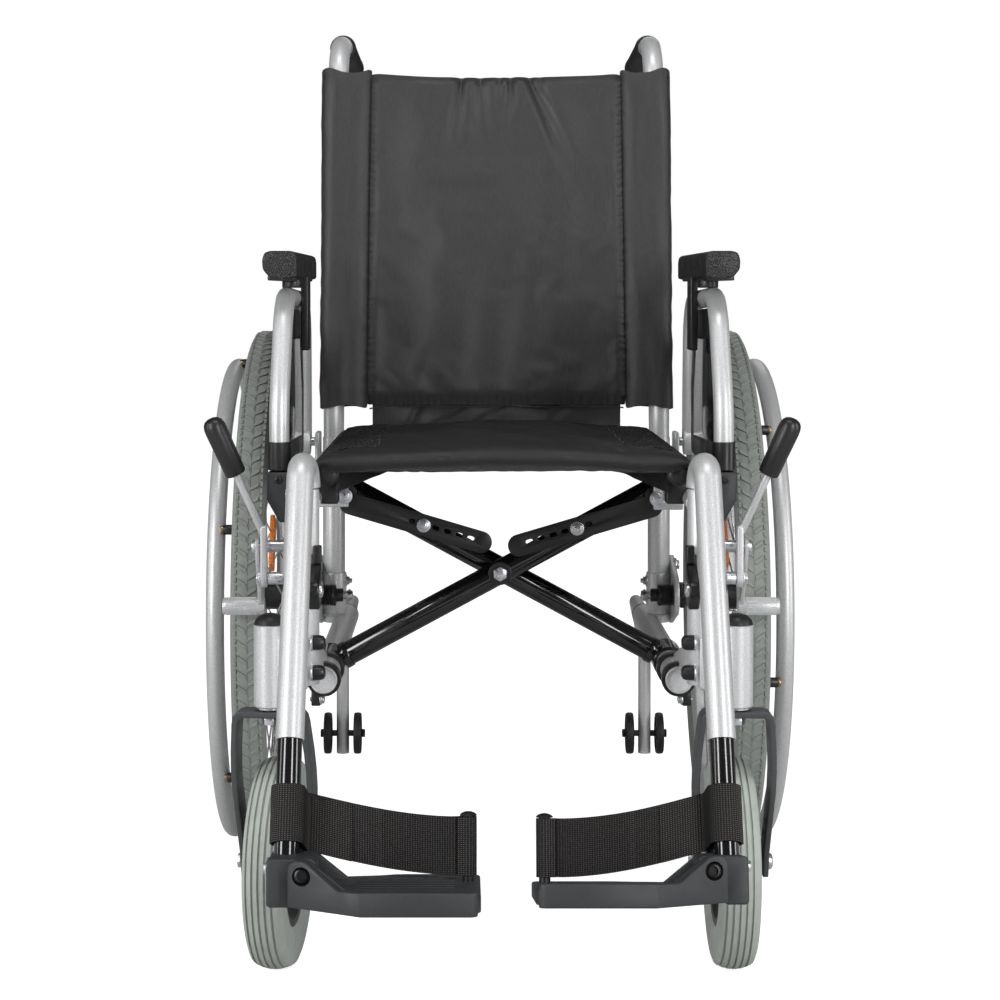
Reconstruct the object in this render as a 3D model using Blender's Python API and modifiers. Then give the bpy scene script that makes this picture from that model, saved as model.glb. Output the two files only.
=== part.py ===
"""Lightweight folding wheelchair: two side frames joined by a scissor cross brace, with
quick-release rear wheels, swivelling casters, swing-away leg rests and flip-back armrests.

Metres, +Z up. The chair faces -Y and its occupant's left is +X. The origin is on the floor,
under the middle of the chair's box. Every lengthwise place is given from the rear axle.
"""

import math

import bmesh
import bpy
from mathutils import Matrix, Vector

# Stance
SEAT_WIDTH = 0.400
AXLE_HEIGHT = 0.300
WHEEL_RADIUS = 0.300
HALF = SEAT_WIDTH / 2
CLEARANCE = 0.0003
RUNNING = 0.0005

# Reach ahead of and behind the rear axle, which centre the chair on the origin
FOOTPLATE_REACH = 0.725
ANTI_TIP_REACH = 0.300
ANTI_TIP_WHEEL_RADIUS = 0.026
AXLE_Y = (FOOTPLATE_REACH - ANTI_TIP_REACH - ANTI_TIP_WHEEL_RADIUS) / 2

# Side frame tubes
RAIL_X = HALF - 0.024
RAIL_Z = AXLE_HEIGHT - 0.040
RAIL_RADIUS = 0.0135
RAIL_FRONT_Y = AXLE_Y - 0.340
RAIL_BORE = 0.0115
RAIL_REAR_Y = AXLE_Y + 0.120
POST_X = HALF - 0.016
POST_Y = AXLE_Y - 0.455
POST_RADIUS = 0.0115
POST_TOP = 0.460
UPRIGHT_X = HALF - 0.013
UPRIGHT_Y = AXLE_Y + 0.040
UPRIGHT_RADIUS = 0.0127
UPRIGHT_TOP = 0.478
UPPER_RAIL_Z = 0.445
UPPER_RAIL_RADIUS = 0.0105
SOCKET_DEPTH = 0.060
JUNCTION_HEIGHT = 0.063
JUNCTION_HALF_WIDTH = POST_RADIUS + 0.0005
JUNCTION_FRONT_Y = POST_Y - 0.015
JUNCTION_REAR_Y = POST_Y + 0.055
GUSSET_THICKNESS = 0.006
GUSSET_RUN = 0.080

# Back canes and push grips
CANE_RADIUS = 0.011
CANE_BEND_Z = 0.500
RECLINE = math.radians(7)
CANE_TOP_Z = 0.939
CANE_BEND = 0.045
GRIP_LENGTH = 0.122
GRIP_RADIUS = 0.0155
HANDLE_LENGTH = 0.165
HANDLE_TOE_IN = 0.010
HANDLE_DROP = 0.018

# Seat and back slings, and the cross brace
BRACE_Y = AXLE_Y - 0.220
BRACE_Z = 0.355
BRACE_RADIUS = 0.0125
BRACE_OFFSET = 0.0155
SEAT_RAIL_X = HALF - 0.034
SEAT_RAIL_Z = 0.472
SEAT_RAIL_RADIUS = 0.011
SEAT_FRONT_Y = AXLE_Y - 0.438
SEAT_REAR_Y = AXLE_Y - 0.020
SLEEVE_WALL = 0.003
SLEEVE_LENGTH = 0.060
SLING_THICKNESS = 0.005
SEAT_CROWN = 0.004
SEAT_HEM = 0.020
SEAT_HEM_HALF = HALF - 0.040
HEM_THICKNESS = 0.0035
BACK_LOW = 0.514
BACK_HIGH = 0.896
BACK_SAG = 0.010
BACK_FLAP = 0.022
BACK_FLAP_HALF = HALF - 0.058
CRADLE_HALF_LENGTH = 0.012

# Link arms between the upper rails and the cross brace
LINK_X = SEAT_RAIL_X - 0.005
LINK_Z = 0.433
LINK_BOLT_X = 0.079
LINK_BOLT_RISE = 0.004
LINK_LENGTH = 0.174
LINK_WIDTH = 0.026
LINK_THICKNESS = 0.004
LINK_SLOTS = 5
LINK_PIN_RADIUS = 0.004

# Rear wheels
WHEEL_X = HALF + 0.056
TYRE_WIDTH = 0.035
TYRE_DEPTH = 0.0225
RIM_OUTER = WHEEL_RADIUS - TYRE_DEPTH - CLEARANCE
RIM_WIDTH = 0.025
RIM_DEPTH = 0.015
RIM_TAPER = 0.4
HUB_HALF_WIDTH = 0.028
HUB_RADIUS = 0.017
FLANGE_RADIUS = 0.027
SPOKES = 20
SPOKE_RADIUS = 0.0015
RING_STEPS = 40
AXLE_RADIUS = 0.0063
HANDRIM_X = HALF + 0.092
HANDRIM_RADIUS = 0.0095
HANDRIM_RING = WHEEL_RADIUS - 0.041
SPACERS = 6
SPACER_RADIUS = 0.0055
SPACER_SHIFT = 0.0075
SPACER_ANGLE = {-1: math.radians(22), 1: math.radians(48)}

# Axle plate
PLATE_X = UPRIGHT_X + UPRIGHT_RADIUS + CLEARANCE
PLATE_THICKNESS = 0.006
BUSH_RADIUS = 0.0125
BUSH_INNER_X = HALF - 0.030
RELEASE_X = HALF - 0.042

# Casters
CASTER_X = HALF + 0.018
CASTER_Y = AXLE_Y - 0.465
CASTER_TRAIL = 0.045
CASTER_RADIUS = 0.100
CASTER_WIDTH = 0.038
CASTER_HUB_HALF = 0.0235
HOUSING_RADIUS = 0.0155
HOUSING_LOW = RAIL_Z - 0.003
HOUSING_HIGH = RAIL_Z + 0.074
HOUSING_DOME = 0.011
FORK_OUTER = 0.035
FORK_FLARE = 0.0385
FORK_THICKNESS = 0.0055
FORK_DEPTH = 0.030
FORK_STEM_RADIUS = 0.006
CASTER_TURN = {-1: math.radians(-6), 1: 0.0}

# Leg rests
HANGER_X = HALF - 0.010
HANGER_RADIUS = 0.0127
HANGER_SLOPE = 0.46
HANGER_LINE_Y = AXLE_Y - 0.500
HANGER_LINE_Z = 0.4536
HANGER_LOW = 0.250
HANGER_BEND = 0.0195
SPIGOT_RADIUS = 0.008
SPIGOT_LENGTH = 0.034
EXTENSION_RADIUS = 0.011
EXTENSION_TOP = 0.345
EXTENSION_LOW = 0.141
CLAMP_Z = 0.150
CLAMP_DEPTH = 0.056
LATCH_Z = 0.370
LATCH_PIN_RADIUS = 0.003

# Footplates, in a frame tilted about the hinge screw
HINGE_X = HALF - 0.027
HINGE_Y = AXLE_Y - 0.650
HINGE_Z = 0.150
HINGE_PIN_RADIUS = 0.004
CLAMP_INNER = 0.011
CLAMP_RADIUS = 0.016
CLAMP_TOP = 0.018
FOOTPLATE_TILT = {-1: math.radians(6), 1: math.radians(12)}
FOOTPLATE_TIP_X = 0.0225
FOOTPLATE_TOP = 0.015
FOOTPLATE_THICKNESS = 0.0115
FOOTPLATE_REAR = 0.060
EAR_LENGTH = 0.0105
EAR_TOP = 0.0085
EAR_OUTER = 0.009
HEEL_POST_X = 0.033
HEEL_POST_Y = 0.019
HEEL_POST_RADIUS = 0.006
HEEL_POST_HEIGHT = 0.050
STRAP_WIDTH = 0.050
STRAP_THICKNESS = 0.003
STRAP_RISE = 0.0355
STRAP_REAR = 0.006
STRAP_SLACK = -0.012
STRAP_LOOP_Z = 0.198
STRAP_LOOP_RADIUS = 0.015

# Armrests
ARM_X = HALF + 0.019
ARM_RADIUS = 0.010
ARM_FRONT_Y = AXLE_Y - 0.342
ARM_FRONT_LOW = 0.4685
ARM_BEND_Z = 0.530
ARM_LEAN = 0.052
ARM_TOP = 0.640
ARM_PIVOT_Y = AXLE_Y - 0.006
ARM_PIVOT_Z = 0.475
ARM_EYE_RADIUS = 0.015
ARM_PIN_RADIUS = 0.005
PANEL_THICKNESS = 0.006
PAD_X = HALF + 0.020
PAD_HALF_WIDTH = 0.0175
PAD_LOW = 0.657
PAD_HIGH = 0.685
PAD_FRONT_Y = AXLE_Y - 0.320
PAD_REAR_Y = AXLE_Y - 0.020
PAD_STEM_DROP = 0.075

# Brakes
BRAKE_X = HALF + 0.033
BRAKE_Y = AXLE_Y - 0.368
BRAKE_Z = 0.365
BRAKE_BAR = 0.004
BRAKE_PIN_RADIUS = 0.004
BRACKET_X = HALF + 0.002
BRACKET_THICKNESS = 0.005
SHOE_X = HALF + 0.0395
SHOE_PIVOT_Y = BRAKE_Y + 0.010
SHOE_PIVOT_Z = 0.395
SHOE_Z = 0.331
SHOE_RADIUS = 0.009
SHOE_GAP = 0.012
BRAKE_GRIP_X = HALF + 0.069
BRAKE_GRIP_Z = 0.494
BRAKE_GRIP_RADIUS = 0.011
BRAKE_GRIP_LENGTH = 0.060

# Anti-tippers
ANTI_TIP_X = HALF - 0.009
ANTI_TIP_RADIUS = 0.008
ANTI_TIP_LOW = 0.060
ANTI_TIP_WHEEL_Z = 0.085
ANTI_TIP_TRACK = 0.0187
ANTI_TIP_WHEEL_WIDTH = 0.010
SPINDLE_RADIUS = 0.004

FINISHES = {
    "silver_paint": ((0.62, 0.63, 0.64), 0.32, 0.75),
    "gloss_black": ((0.012, 0.012, 0.013), 0.18, 0.0),
    "black_plastic": ((0.018, 0.018, 0.019), 0.5, 0.0),
    "grey_plastic": ((0.055, 0.057, 0.062), 0.55, 0.0),
    "grey_tyre": ((0.30, 0.32, 0.31), 0.75, 0.0),
    "black_nylon": ((0.016, 0.016, 0.018), 0.6, 0.0),
    "webbing": ((0.030, 0.030, 0.031), 0.85, 0.0),
    "black_vinyl": ((0.014, 0.014, 0.015), 0.42, 0.0),
    "steel": ((0.60, 0.60, 0.61), 0.25, 1.0),
}

CHAIR = bpy.data.collections.new("folding_wheelchair")


def start():
    """Empties the file of objects and links the chair's collection."""
    for item in list(bpy.data.objects):
        bpy.data.objects.remove(item, do_unlink=True)
    bpy.context.scene.collection.children.link(CHAIR)


def finish_material(name):
    """The named paint, plastic or cloth, made once."""
    if name in bpy.data.materials:
        return bpy.data.materials[name]
    colour, roughness, metallic = FINISHES[name]
    material = bpy.data.materials.new(name)
    material.use_nodes = True
    shader = material.node_tree.nodes["Principled BSDF"]
    shader.inputs["Base Color"].default_value = (*colour, 1)
    shader.inputs["Roughness"].default_value = roughness
    shader.inputs["Metallic"].default_value = metallic
    return material


def new_object(mesh):
    """A mesh object in the chair's collection."""
    item = bpy.data.objects.new("shape", mesh)
    CHAIR.objects.link(item)
    return item


def from_bmesh(shape):
    """A closed solid from bmesh data, its faces pointing out."""
    bmesh.ops.remove_doubles(shape, verts=shape.verts, dist=1e-6)
    if shape.calc_volume(signed=True) < 0:
        bmesh.ops.reverse_faces(shape, faces=shape.faces)
    mesh = bpy.data.meshes.new("shape")
    shape.to_mesh(mesh)
    shape.free()
    return new_object(mesh)


def bake(item, place=Matrix.Identity(4)):
    """Turns an object with its modifiers, or a curve, into a plain closed mesh."""
    graph = bpy.context.evaluated_depsgraph_get()
    made = bpy.data.meshes.new_from_object(item.evaluated_get(graph))
    shape = bmesh.new()
    shape.from_mesh(made)
    bmesh.ops.transform(shape, matrix=place, verts=shape.verts)
    bpy.data.objects.remove(item, do_unlink=True)
    return from_bmesh(shape)


def box(low, high):
    """A block between two corners, given in any order."""
    low, high = Vector(low), Vector(high)
    size = [abs(a - b) for a, b in zip(low, high)]
    shape = bmesh.new()
    place = Matrix.Translation((low + high) / 2) @ Matrix.Diagonal((*size, 1))
    bmesh.ops.create_cube(shape, size=1, matrix=place)
    return from_bmesh(shape)


def rod(start_point, end_point, radius, sides=16, end_radius=None):
    """A round bar, or a cone where end_radius is given."""
    first, last = Vector(start_point), Vector(end_point)
    along = last - first
    turn = Vector((0, 0, 1)).rotation_difference(along).to_matrix().to_4x4()
    shape = bmesh.new()
    bmesh.ops.create_cone(
        shape,
        cap_ends=True,
        segments=sides,
        radius1=radius,
        radius2=radius if end_radius is None else end_radius,
        depth=along.length,
        matrix=Matrix.Translation((first + last) / 2) @ turn,
    )
    return from_bmesh(shape)


def rounded(corners, bend, steps=5):
    """The centreline of a bent tube: straight runs joined by arcs of one bend radius."""
    corners = [Vector(c) for c in corners]
    line = [corners[0]]
    for before, corner, after in zip(corners, corners[1:], corners[2:]):
        inward, outward = (before - corner).normalized(), (after - corner).normalized()
        half = inward.angle(outward) / 2
        tangent = bend / math.tan(half)
        centre = corner + (inward + outward).normalized() * bend / math.sin(half)
        first = corner + inward * tangent - centre
        last = corner + outward * tangent - centre
        sweep = first.rotation_difference(last)
        for step in range(steps + 1):
            share = sweep.copy()
            share.angle = sweep.angle * step / steps
            line.append(centre + share @ first)
    line.append(corners[-1])
    return line


def tube(line, radius, resolution=3):
    """A round tube along a list of points, as a bevelled curve with filled caps."""
    curve = bpy.data.curves.new("tube", "CURVE")
    curve.dimensions = "3D"
    curve.bevel_depth = radius
    curve.bevel_resolution = resolution
    curve.use_fill_caps = True
    spline = curve.splines.new("POLY")
    spline.points.add(len(line) - 1)
    for point, place in zip(spline.points, line):
        point.co = (*place, 1)
    item = bpy.data.objects.new("tube", curve)
    CHAIR.objects.link(item)
    return bake(item)


def plate(outlines, thickness, place):
    """A flat plate from closed outlines, the later ones holes, set by a matrix."""
    curve = bpy.data.curves.new("plate", "CURVE")
    curve.dimensions = "2D"
    curve.fill_mode = "BOTH"
    curve.extrude = thickness / 2
    for outline in outlines:
        spline = curve.splines.new("POLY")
        spline.points.add(len(outline) - 1)
        spline.use_cyclic_u = True
        for point, (u, v) in zip(spline.points, outline):
            point.co = (u, v, 0, 1)
    item = bpy.data.objects.new("plate", curve)
    CHAIR.objects.link(item)
    return bake(item, place)


def across_x(x):
    """Sets a plate's outline in Y and Z, at one X."""
    return Matrix(((0, 0, 1, x), (1, 0, 0, 0), (0, 1, 0, 0), (0, 0, 0, 1)))


def across_y(y):
    """Sets a plate's outline in X and Z, at one Y."""
    return Matrix(((1, 0, 0, 0), (0, 0, -1, y), (0, 1, 0, 0), (0, 0, 0, 1)))


def across_z(z):
    """Sets a plate's outline in X and Y, at one Z."""
    return Matrix.Translation((0, 0, z))


def arc(centre, radius, start_angle, end_angle, steps):
    """Points along an arc, in degrees."""
    points = []
    for step in range(steps + 1):
        angle = math.radians(start_angle + (end_angle - start_angle) * step / steps)
        points.append(
            (centre[0] + radius * math.cos(angle), centre[1] + radius * math.sin(angle))
        )
    return points


def turned(profile, centre, axis, steps, ring=False):
    """A turned solid from (radius, offset) points. A ring's profile closes on itself."""
    shape = bmesh.new()
    points = [shape.verts.new((radius, 0, offset)) for radius, offset in profile]
    for first, last in zip(points, points[1:]):
        shape.edges.new((first, last))
    if ring:
        shape.edges.new((points[-1], points[0]))
    mesh = bpy.data.meshes.new("profile")
    shape.to_mesh(mesh)
    shape.free()
    item = new_object(mesh)
    screw = item.modifiers.new("turn", "SCREW")
    screw.steps = screw.render_steps = steps
    screw.use_merge_vertices = True
    screw.merge_threshold = 1e-6
    turn = Vector((0, 0, 1)).rotation_difference(Vector(axis)).to_matrix().to_4x4()
    return bake(item, Matrix.Translation(centre) @ turn)


def gather(items):
    """Separate shapes that don't touch, as one operand of a Boolean."""
    shape = bmesh.new()
    for item in items:
        shape.from_mesh(item.data)
        bpy.data.objects.remove(item, do_unlink=True)
    return from_bmesh(shape)


def combine(base, others, operation):
    """Boolean steps of one kind on a base, which use the other solids up."""
    for other in others:
        step = base.modifiers.new("step", "BOOLEAN")
        step.operation = operation
        step.solver = "EXACT"
        step.object = other
    made = bake(base)
    for other in others:
        bpy.data.objects.remove(other, do_unlink=True)
    return made


def unite(base, *others):
    return combine(base, others, "UNION")


def cut(base, *others):
    return combine(base, others, "DIFFERENCE")


def axis_empty(name, place, carrier=None):
    """An empty on a joint's axis, which carries the pieces that move about it."""
    empty = bpy.data.objects.new(name, None)
    CHAIR.objects.link(empty)
    empty.location = place
    hang(empty, carrier)
    return empty


def hang(item, carrier):
    """Parents an item to its carrier without moving it."""
    if carrier is None:
        return
    bpy.context.view_layer.update()
    item.parent = carrier
    item.matrix_parent_inverse = carrier.matrix_world.inverted()


def finish(item, name, finish_name, origin, carrier=None):
    """Names a sub-part, gives it its material and puts its origin on its axis or seat."""
    item.name = item.data.name = name
    item.data.materials.append(finish_material(finish_name))
    item.data.shade_smooth()
    item.data.set_sharp_from_angle(angle=math.radians(35))
    item.data.transform(Matrix.Translation(-Vector(origin)))
    item.location = origin
    hang(item, carrier)
    return item


def side_name(name, side):
    """The occupant's left is +X."""
    return name + ("_left" if side > 0 else "_right")


def slope_y(z):
    """Where the leg rest's sloping centreline is at a height."""
    return HANGER_LINE_Y - HANGER_SLOPE * (HANGER_LINE_Z - z)


def side_frame(side, carrier):
    """Lower rail, upper rail, front post and rear upright, welded, with their lugs."""
    x = side * RAIL_X
    rail = rod((x, RAIL_FRONT_Y, RAIL_Z), (x, RAIL_REAR_Y, RAIL_Z), RAIL_RADIUS)
    post_x = side * POST_X
    post = rod((post_x, POST_Y, RAIL_Z + RAIL_RADIUS), (post_x, POST_Y, POST_TOP), POST_RADIUS)
    junction = box(
        (side * (POST_X - JUNCTION_HALF_WIDTH), JUNCTION_FRONT_Y, RAIL_Z + RAIL_RADIUS * 0.9),
        (side * (POST_X + JUNCTION_HALF_WIDTH), JUNCTION_REAR_Y, RAIL_Z + JUNCTION_HEIGHT),
    )
    gusset_y = JUNCTION_REAR_Y - 0.010
    gusset_low = RAIL_Z + RAIL_RADIUS * 0.5
    gusset = plate(
        [
            [
                (gusset_y, RAIL_Z + JUNCTION_HEIGHT - 0.012),
                (gusset_y, RAIL_Z + RAIL_RADIUS + 0.003),
                (RAIL_FRONT_Y + 0.006, gusset_low),
                (RAIL_FRONT_Y + GUSSET_RUN, gusset_low),
            ]
        ],
        GUSSET_THICKNESS,
        across_x(side * (RAIL_X + 0.003)),
    )
    upper = rod(
        (post_x, POST_Y, UPPER_RAIL_Z),
        (side * UPRIGHT_X, UPRIGHT_Y, UPPER_RAIL_Z),
        UPPER_RAIL_RADIUS,
        12,
    )
    upright = rod(
        (side * UPRIGHT_X, UPRIGHT_Y, RAIL_Z),
        (side * UPRIGHT_X, UPRIGHT_Y, UPRIGHT_TOP),
        UPRIGHT_RADIUS,
    )
    cradles = [
        box(
            (side * (SEAT_RAIL_X - 0.008), y - CRADLE_HALF_LENGTH, UPPER_RAIL_Z - 0.006),
            (side * UPRIGHT_X, y + CRADLE_HALF_LENGTH, SEAT_RAIL_Z - SEAT_RAIL_RADIUS - CLEARANCE),
        )
        for y in (SEAT_FRONT_Y + 0.058, SEAT_REAR_Y - 0.040)
    ]
    lug_y = link_lug_y(side)
    lug = box(
        (side * (LINK_X - 0.009), lug_y - 0.004, LINK_Z - 0.012),
        (side * UPRIGHT_X, lug_y + 0.004, UPPER_RAIL_Z + 0.004),
    )
    pin_tip = link_y(side) + math.copysign(LINK_THICKNESS / 2, link_y(side) - lug_y)
    link_pin = rod(
        (side * LINK_X, lug_y, LINK_Z), (side * LINK_X, pin_tip, LINK_Z), LINK_PIN_RADIUS, 10
    )
    arm_lug = box(
        (side * (UPRIGHT_X + 0.001), ARM_PIVOT_Y - 0.016, UPPER_RAIL_Z - 0.004),
        (side * (ARM_X - 0.0135), ARM_PIVOT_Y + 0.016, ARM_PIVOT_Z + 0.012),
    )
    arm_pin = rod(
        (side * (ARM_X - 0.016), ARM_PIVOT_Y, ARM_PIVOT_Z),
        (side * (ARM_X + 0.0085), ARM_PIVOT_Y, ARM_PIVOT_Z),
        ARM_PIN_RADIUS,
        12,
    )
    frame = unite(
        rail, post, junction, gusset, upper, upright, *cradles, lug, link_pin, arm_lug, arm_pin
    )
    cane_bore = rod(
        (side * UPRIGHT_X, UPRIGHT_Y, UPRIGHT_TOP - SOCKET_DEPTH),
        (side * UPRIGHT_X, UPRIGHT_Y, UPRIGHT_TOP + 0.01),
        CANE_RADIUS + CLEARANCE,
    )
    front_bore = rod(
        (x, RAIL_FRONT_Y - 0.01, RAIL_Z), (x, RAIL_FRONT_Y + 0.03, RAIL_Z), RAIL_BORE, 12
    )
    rear_bore = rod(
        (x, RAIL_REAR_Y - SOCKET_DEPTH, RAIL_Z),
        (x, RAIL_REAR_Y + 0.01, RAIL_Z),
        ANTI_TIP_RADIUS + RUNNING,
    )
    spigot_bore = rod(
        (post_x, POST_Y, POST_TOP - SPIGOT_LENGTH - 0.004),
        (post_x, POST_Y, POST_TOP + 0.01),
        SPIGOT_RADIUS + RUNNING,
    )
    frame = cut(frame, cane_bore, front_bore, rear_bore, spigot_bore)
    seat = (x, AXLE_Y, RAIL_Z)
    return finish(frame, side_name("side_frame", side), "silver_paint", seat, carrier)


def cane_line(side):
    """The centreline of a back cane and its push handle."""
    x = side * UPRIGHT_X
    lean_y = UPRIGHT_Y + (CANE_TOP_Z - CANE_BEND_Z) * math.tan(RECLINE)
    return [
        Vector((x, UPRIGHT_Y, UPRIGHT_TOP - SOCKET_DEPTH + 0.002)),
        Vector((x, UPRIGHT_Y, CANE_BEND_Z)),
        Vector((x, lean_y, CANE_TOP_Z)),
        Vector((x - side * HANDLE_TOE_IN, lean_y + HANDLE_LENGTH, CANE_TOP_Z - HANDLE_DROP)),
    ]


def back_cane(side, carrier):
    """A tube that stands in the upright, leans back and bends into the push handle."""
    corners = cane_line(side)
    lean = rounded(corners[:3], 0.12, 3)[:-1]
    top = rounded(corners[1:], CANE_BEND, 6)[1:]
    cane = tube(lean + top, CANE_RADIUS)
    return finish(cane, side_name("back_cane", side), "silver_paint", corners[1], carrier)


def push_grip(side, carrier):
    """A moulded sleeve over the handle's straight end."""
    corners = cane_line(side)
    along = (corners[3] - corners[2]).normalized()
    first = corners[3] - along * (GRIP_LENGTH - 0.004)
    last = corners[3] + along * 0.004
    grip = rod(first, last, GRIP_RADIUS, 16)
    bore = rod(first - along * 0.01, corners[3] + along * CLEARANCE, CANE_RADIUS + CLEARANCE, 16)
    return finish(cut(grip, bore), side_name("push_grip", side), "black_plastic", first, carrier)


def brace_end(side, share, y):
    """A point on the cross tube that starts at one side's rail, at a share of the way across."""
    x = -side * RAIL_X * (2 * share - 1)
    return Vector((x, y, RAIL_Z + 2 * (BRACE_Z - RAIL_Z) * share))


def brace_y(side):
    """The tube from the right-hand rail lies in front of the one from the left-hand rail."""
    return BRACE_Y + side * BRACE_OFFSET


def cross_tube(side, carrier):
    """One arm of the scissor: a sleeve round the lower rail, the tube, and the seat rail."""
    y = brace_y(side)
    low, high = brace_end(side, 0, y), brace_end(side, 0.955, y)
    sleeve_radius = RAIL_RADIUS + RUNNING + SLEEVE_WALL
    along = (high - low).normalized()
    arm = rod(low + along * (RAIL_RADIUS + RUNNING + 0.001), high, BRACE_RADIUS, 14)
    sleeve = rod(
        (low.x, y - SLEEVE_LENGTH / 2, low.z), (low.x, y + SLEEVE_LENGTH / 2, low.z), sleeve_radius
    )
    rail_x = -side * SEAT_RAIL_X
    rail = rod(
        (rail_x, SEAT_FRONT_Y, SEAT_RAIL_Z),
        (rail_x, SEAT_REAR_Y, SEAT_RAIL_Z),
        SEAT_RAIL_RADIUS,
        14,
    )
    saddle = box(
        (rail_x - 0.007, y - 0.011, high.z - 0.006),
        (rail_x + 0.005, y + 0.011, SEAT_RAIL_Z - 0.004),
    )
    arm = unite(arm, sleeve, rail, saddle)
    rail_bore = rod(
        (low.x, y - SLEEVE_LENGTH, low.z), (low.x, y + SLEEVE_LENGTH, low.z), RAIL_RADIUS + RUNNING
    )
    bolt_bore = rod(
        (0, y - 0.03, BRACE_Z), (0, y + 0.03, BRACE_Z), LINK_PIN_RADIUS + CLEARANCE, 12
    )
    arm = cut(arm, rail_bore, bolt_bore)
    return finish(arm, side_name("cross_tube", side), "gloss_black", low, carrier)


def pivot_bolt(carrier):
    """The bolt, washer and nut on which the two cross tubes scissor."""
    front = brace_y(-1) - BRACE_RADIUS - CLEARANCE
    rear = brace_y(1) + BRACE_RADIUS + CLEARANCE
    profile = [
        (0, front - 0.008),
        (0.0075, front - 0.008),
        (0.0075, front - 0.002),
        (0.012, front - 0.002),
        (0.012, front),
        (LINK_PIN_RADIUS, front),
        (LINK_PIN_RADIUS, rear),
        (0.0075, rear),
        (0.0075, rear + 0.006),
        (0, rear + 0.006),
    ]
    bolt = turned([(r, o - BRACE_Y) for r, o in profile], (0, BRACE_Y, BRACE_Z), (0, 1, 0), 12)
    return finish(bolt, "pivot_bolt", "steel", (0, BRACE_Y, BRACE_Z), carrier)


def link_y(side):
    """The right-hand link lies between the cross tubes, and the left-hand one in front of them."""
    if side < 0:
        return BRACE_Y + 0.0005
    return brace_y(-1) - BRACE_RADIUS - RUNNING - LINK_THICKNESS / 2


def link_lug_y(side):
    """The link's lug on the side frame is just in front of the link."""
    return link_y(side) - LINK_THICKNESS / 2 - RUNNING - 0.004


def link_arm(side, carrier):
    """A slotted strip from the side frame to the cross tube, with the bolt that clamps it."""
    bolt_z = BRACE_Z + (BRACE_Z - RAIL_Z) * LINK_BOLT_X / RAIL_X + LINK_BOLT_RISE
    slope = math.atan2(LINK_Z - bolt_z, LINK_X - LINK_BOLT_X)
    half = LINK_WIDTH / 2
    reach = LINK_LENGTH - LINK_WIDTH
    outline = arc((0, 0), half, 90, 270, 6) + arc((reach, 0), half * 0.8, -90, 90, 6)
    hole = arc((0, 0), LINK_PIN_RADIUS + CLEARANCE, 0, 324, 9)
    bolt_at = math.hypot(LINK_X - LINK_BOLT_X, LINK_Z - bolt_z)
    pitch = (reach - bolt_at) / LINK_SLOTS
    slots = [
        [
            (bolt_at + pitch * (n + 0.85), -0.003),
            (bolt_at + pitch * (n + 1.35), -0.003),
            (bolt_at + pitch * (n + 1.35), 0.003),
            (bolt_at + pitch * (n + 0.85), 0.003),
        ]
        for n in range(LINK_SLOTS)
    ]
    y = link_y(side)
    lie = Matrix(
        (
            (-side * math.cos(slope), side * math.sin(slope), 0, side * LINK_X),
            (0, 0, 1, y),
            (-math.sin(slope), -math.cos(slope), 0, LINK_Z),
            (0, 0, 0, 1),
        )
    )
    strip = plate([outline, hole, *slots], LINK_THICKNESS, lie)
    head_x = side * LINK_BOLT_X
    head = rod((head_x, y, bolt_z), (head_x, y - LINK_THICKNESS / 2 - 0.006, bolt_z), 0.007, 6)
    pin = (side * LINK_X, y, LINK_Z)
    return finish(unite(strip, head), side_name("link_arm", side), "black_plastic", pin, carrier)


def seat_sling():
    """The seat's cloth over the two seat rails, crowned a little, with a hem at its front."""
    low = SEAT_RAIL_Z + SEAT_RAIL_RADIUS + CLEARANCE
    edge = SEAT_RAIL_X + SEAT_RAIL_RADIUS
    top = low + SLING_THICKNESS
    upper = [
        (edge, top),
        (edge * 0.86, top),
        (edge * 0.5, top + SEAT_CROWN * 0.8),
        (edge * 0.2, top + SEAT_CROWN),
    ]
    outline = upper + [(-x, z) for x, z in reversed(upper)]
    lower = [(-x, z - SLING_THICKNESS) for x, z in upper]
    outline += lower + [(-x, z) for x, z in reversed(lower)]
    length = SEAT_REAR_Y - SEAT_FRONT_Y + 0.014
    sling = plate([outline], length, across_y((SEAT_FRONT_Y + SEAT_REAR_Y) / 2))
    front = SEAT_FRONT_Y - 0.007
    hem = [
        (SEAT_HEM_HALF, low + 0.001),
        (-SEAT_HEM_HALF, low + 0.001),
        (-SEAT_HEM_HALF, low - SEAT_HEM * 0.4),
        (-SEAT_HEM_HALF * 0.5, low - SEAT_HEM * 0.9),
        (0, low - SEAT_HEM),
        (SEAT_HEM_HALF * 0.5, low - SEAT_HEM * 0.9),
        (SEAT_HEM_HALF, low - SEAT_HEM * 0.4),
    ]
    sling = unite(sling, plate([hem], HEM_THICKNESS, across_y(front + HEM_THICKNESS / 2 + 0.0001)))
    return finish(sling, "seat_sling", "black_nylon", (0, BRACE_Y, top))


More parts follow.
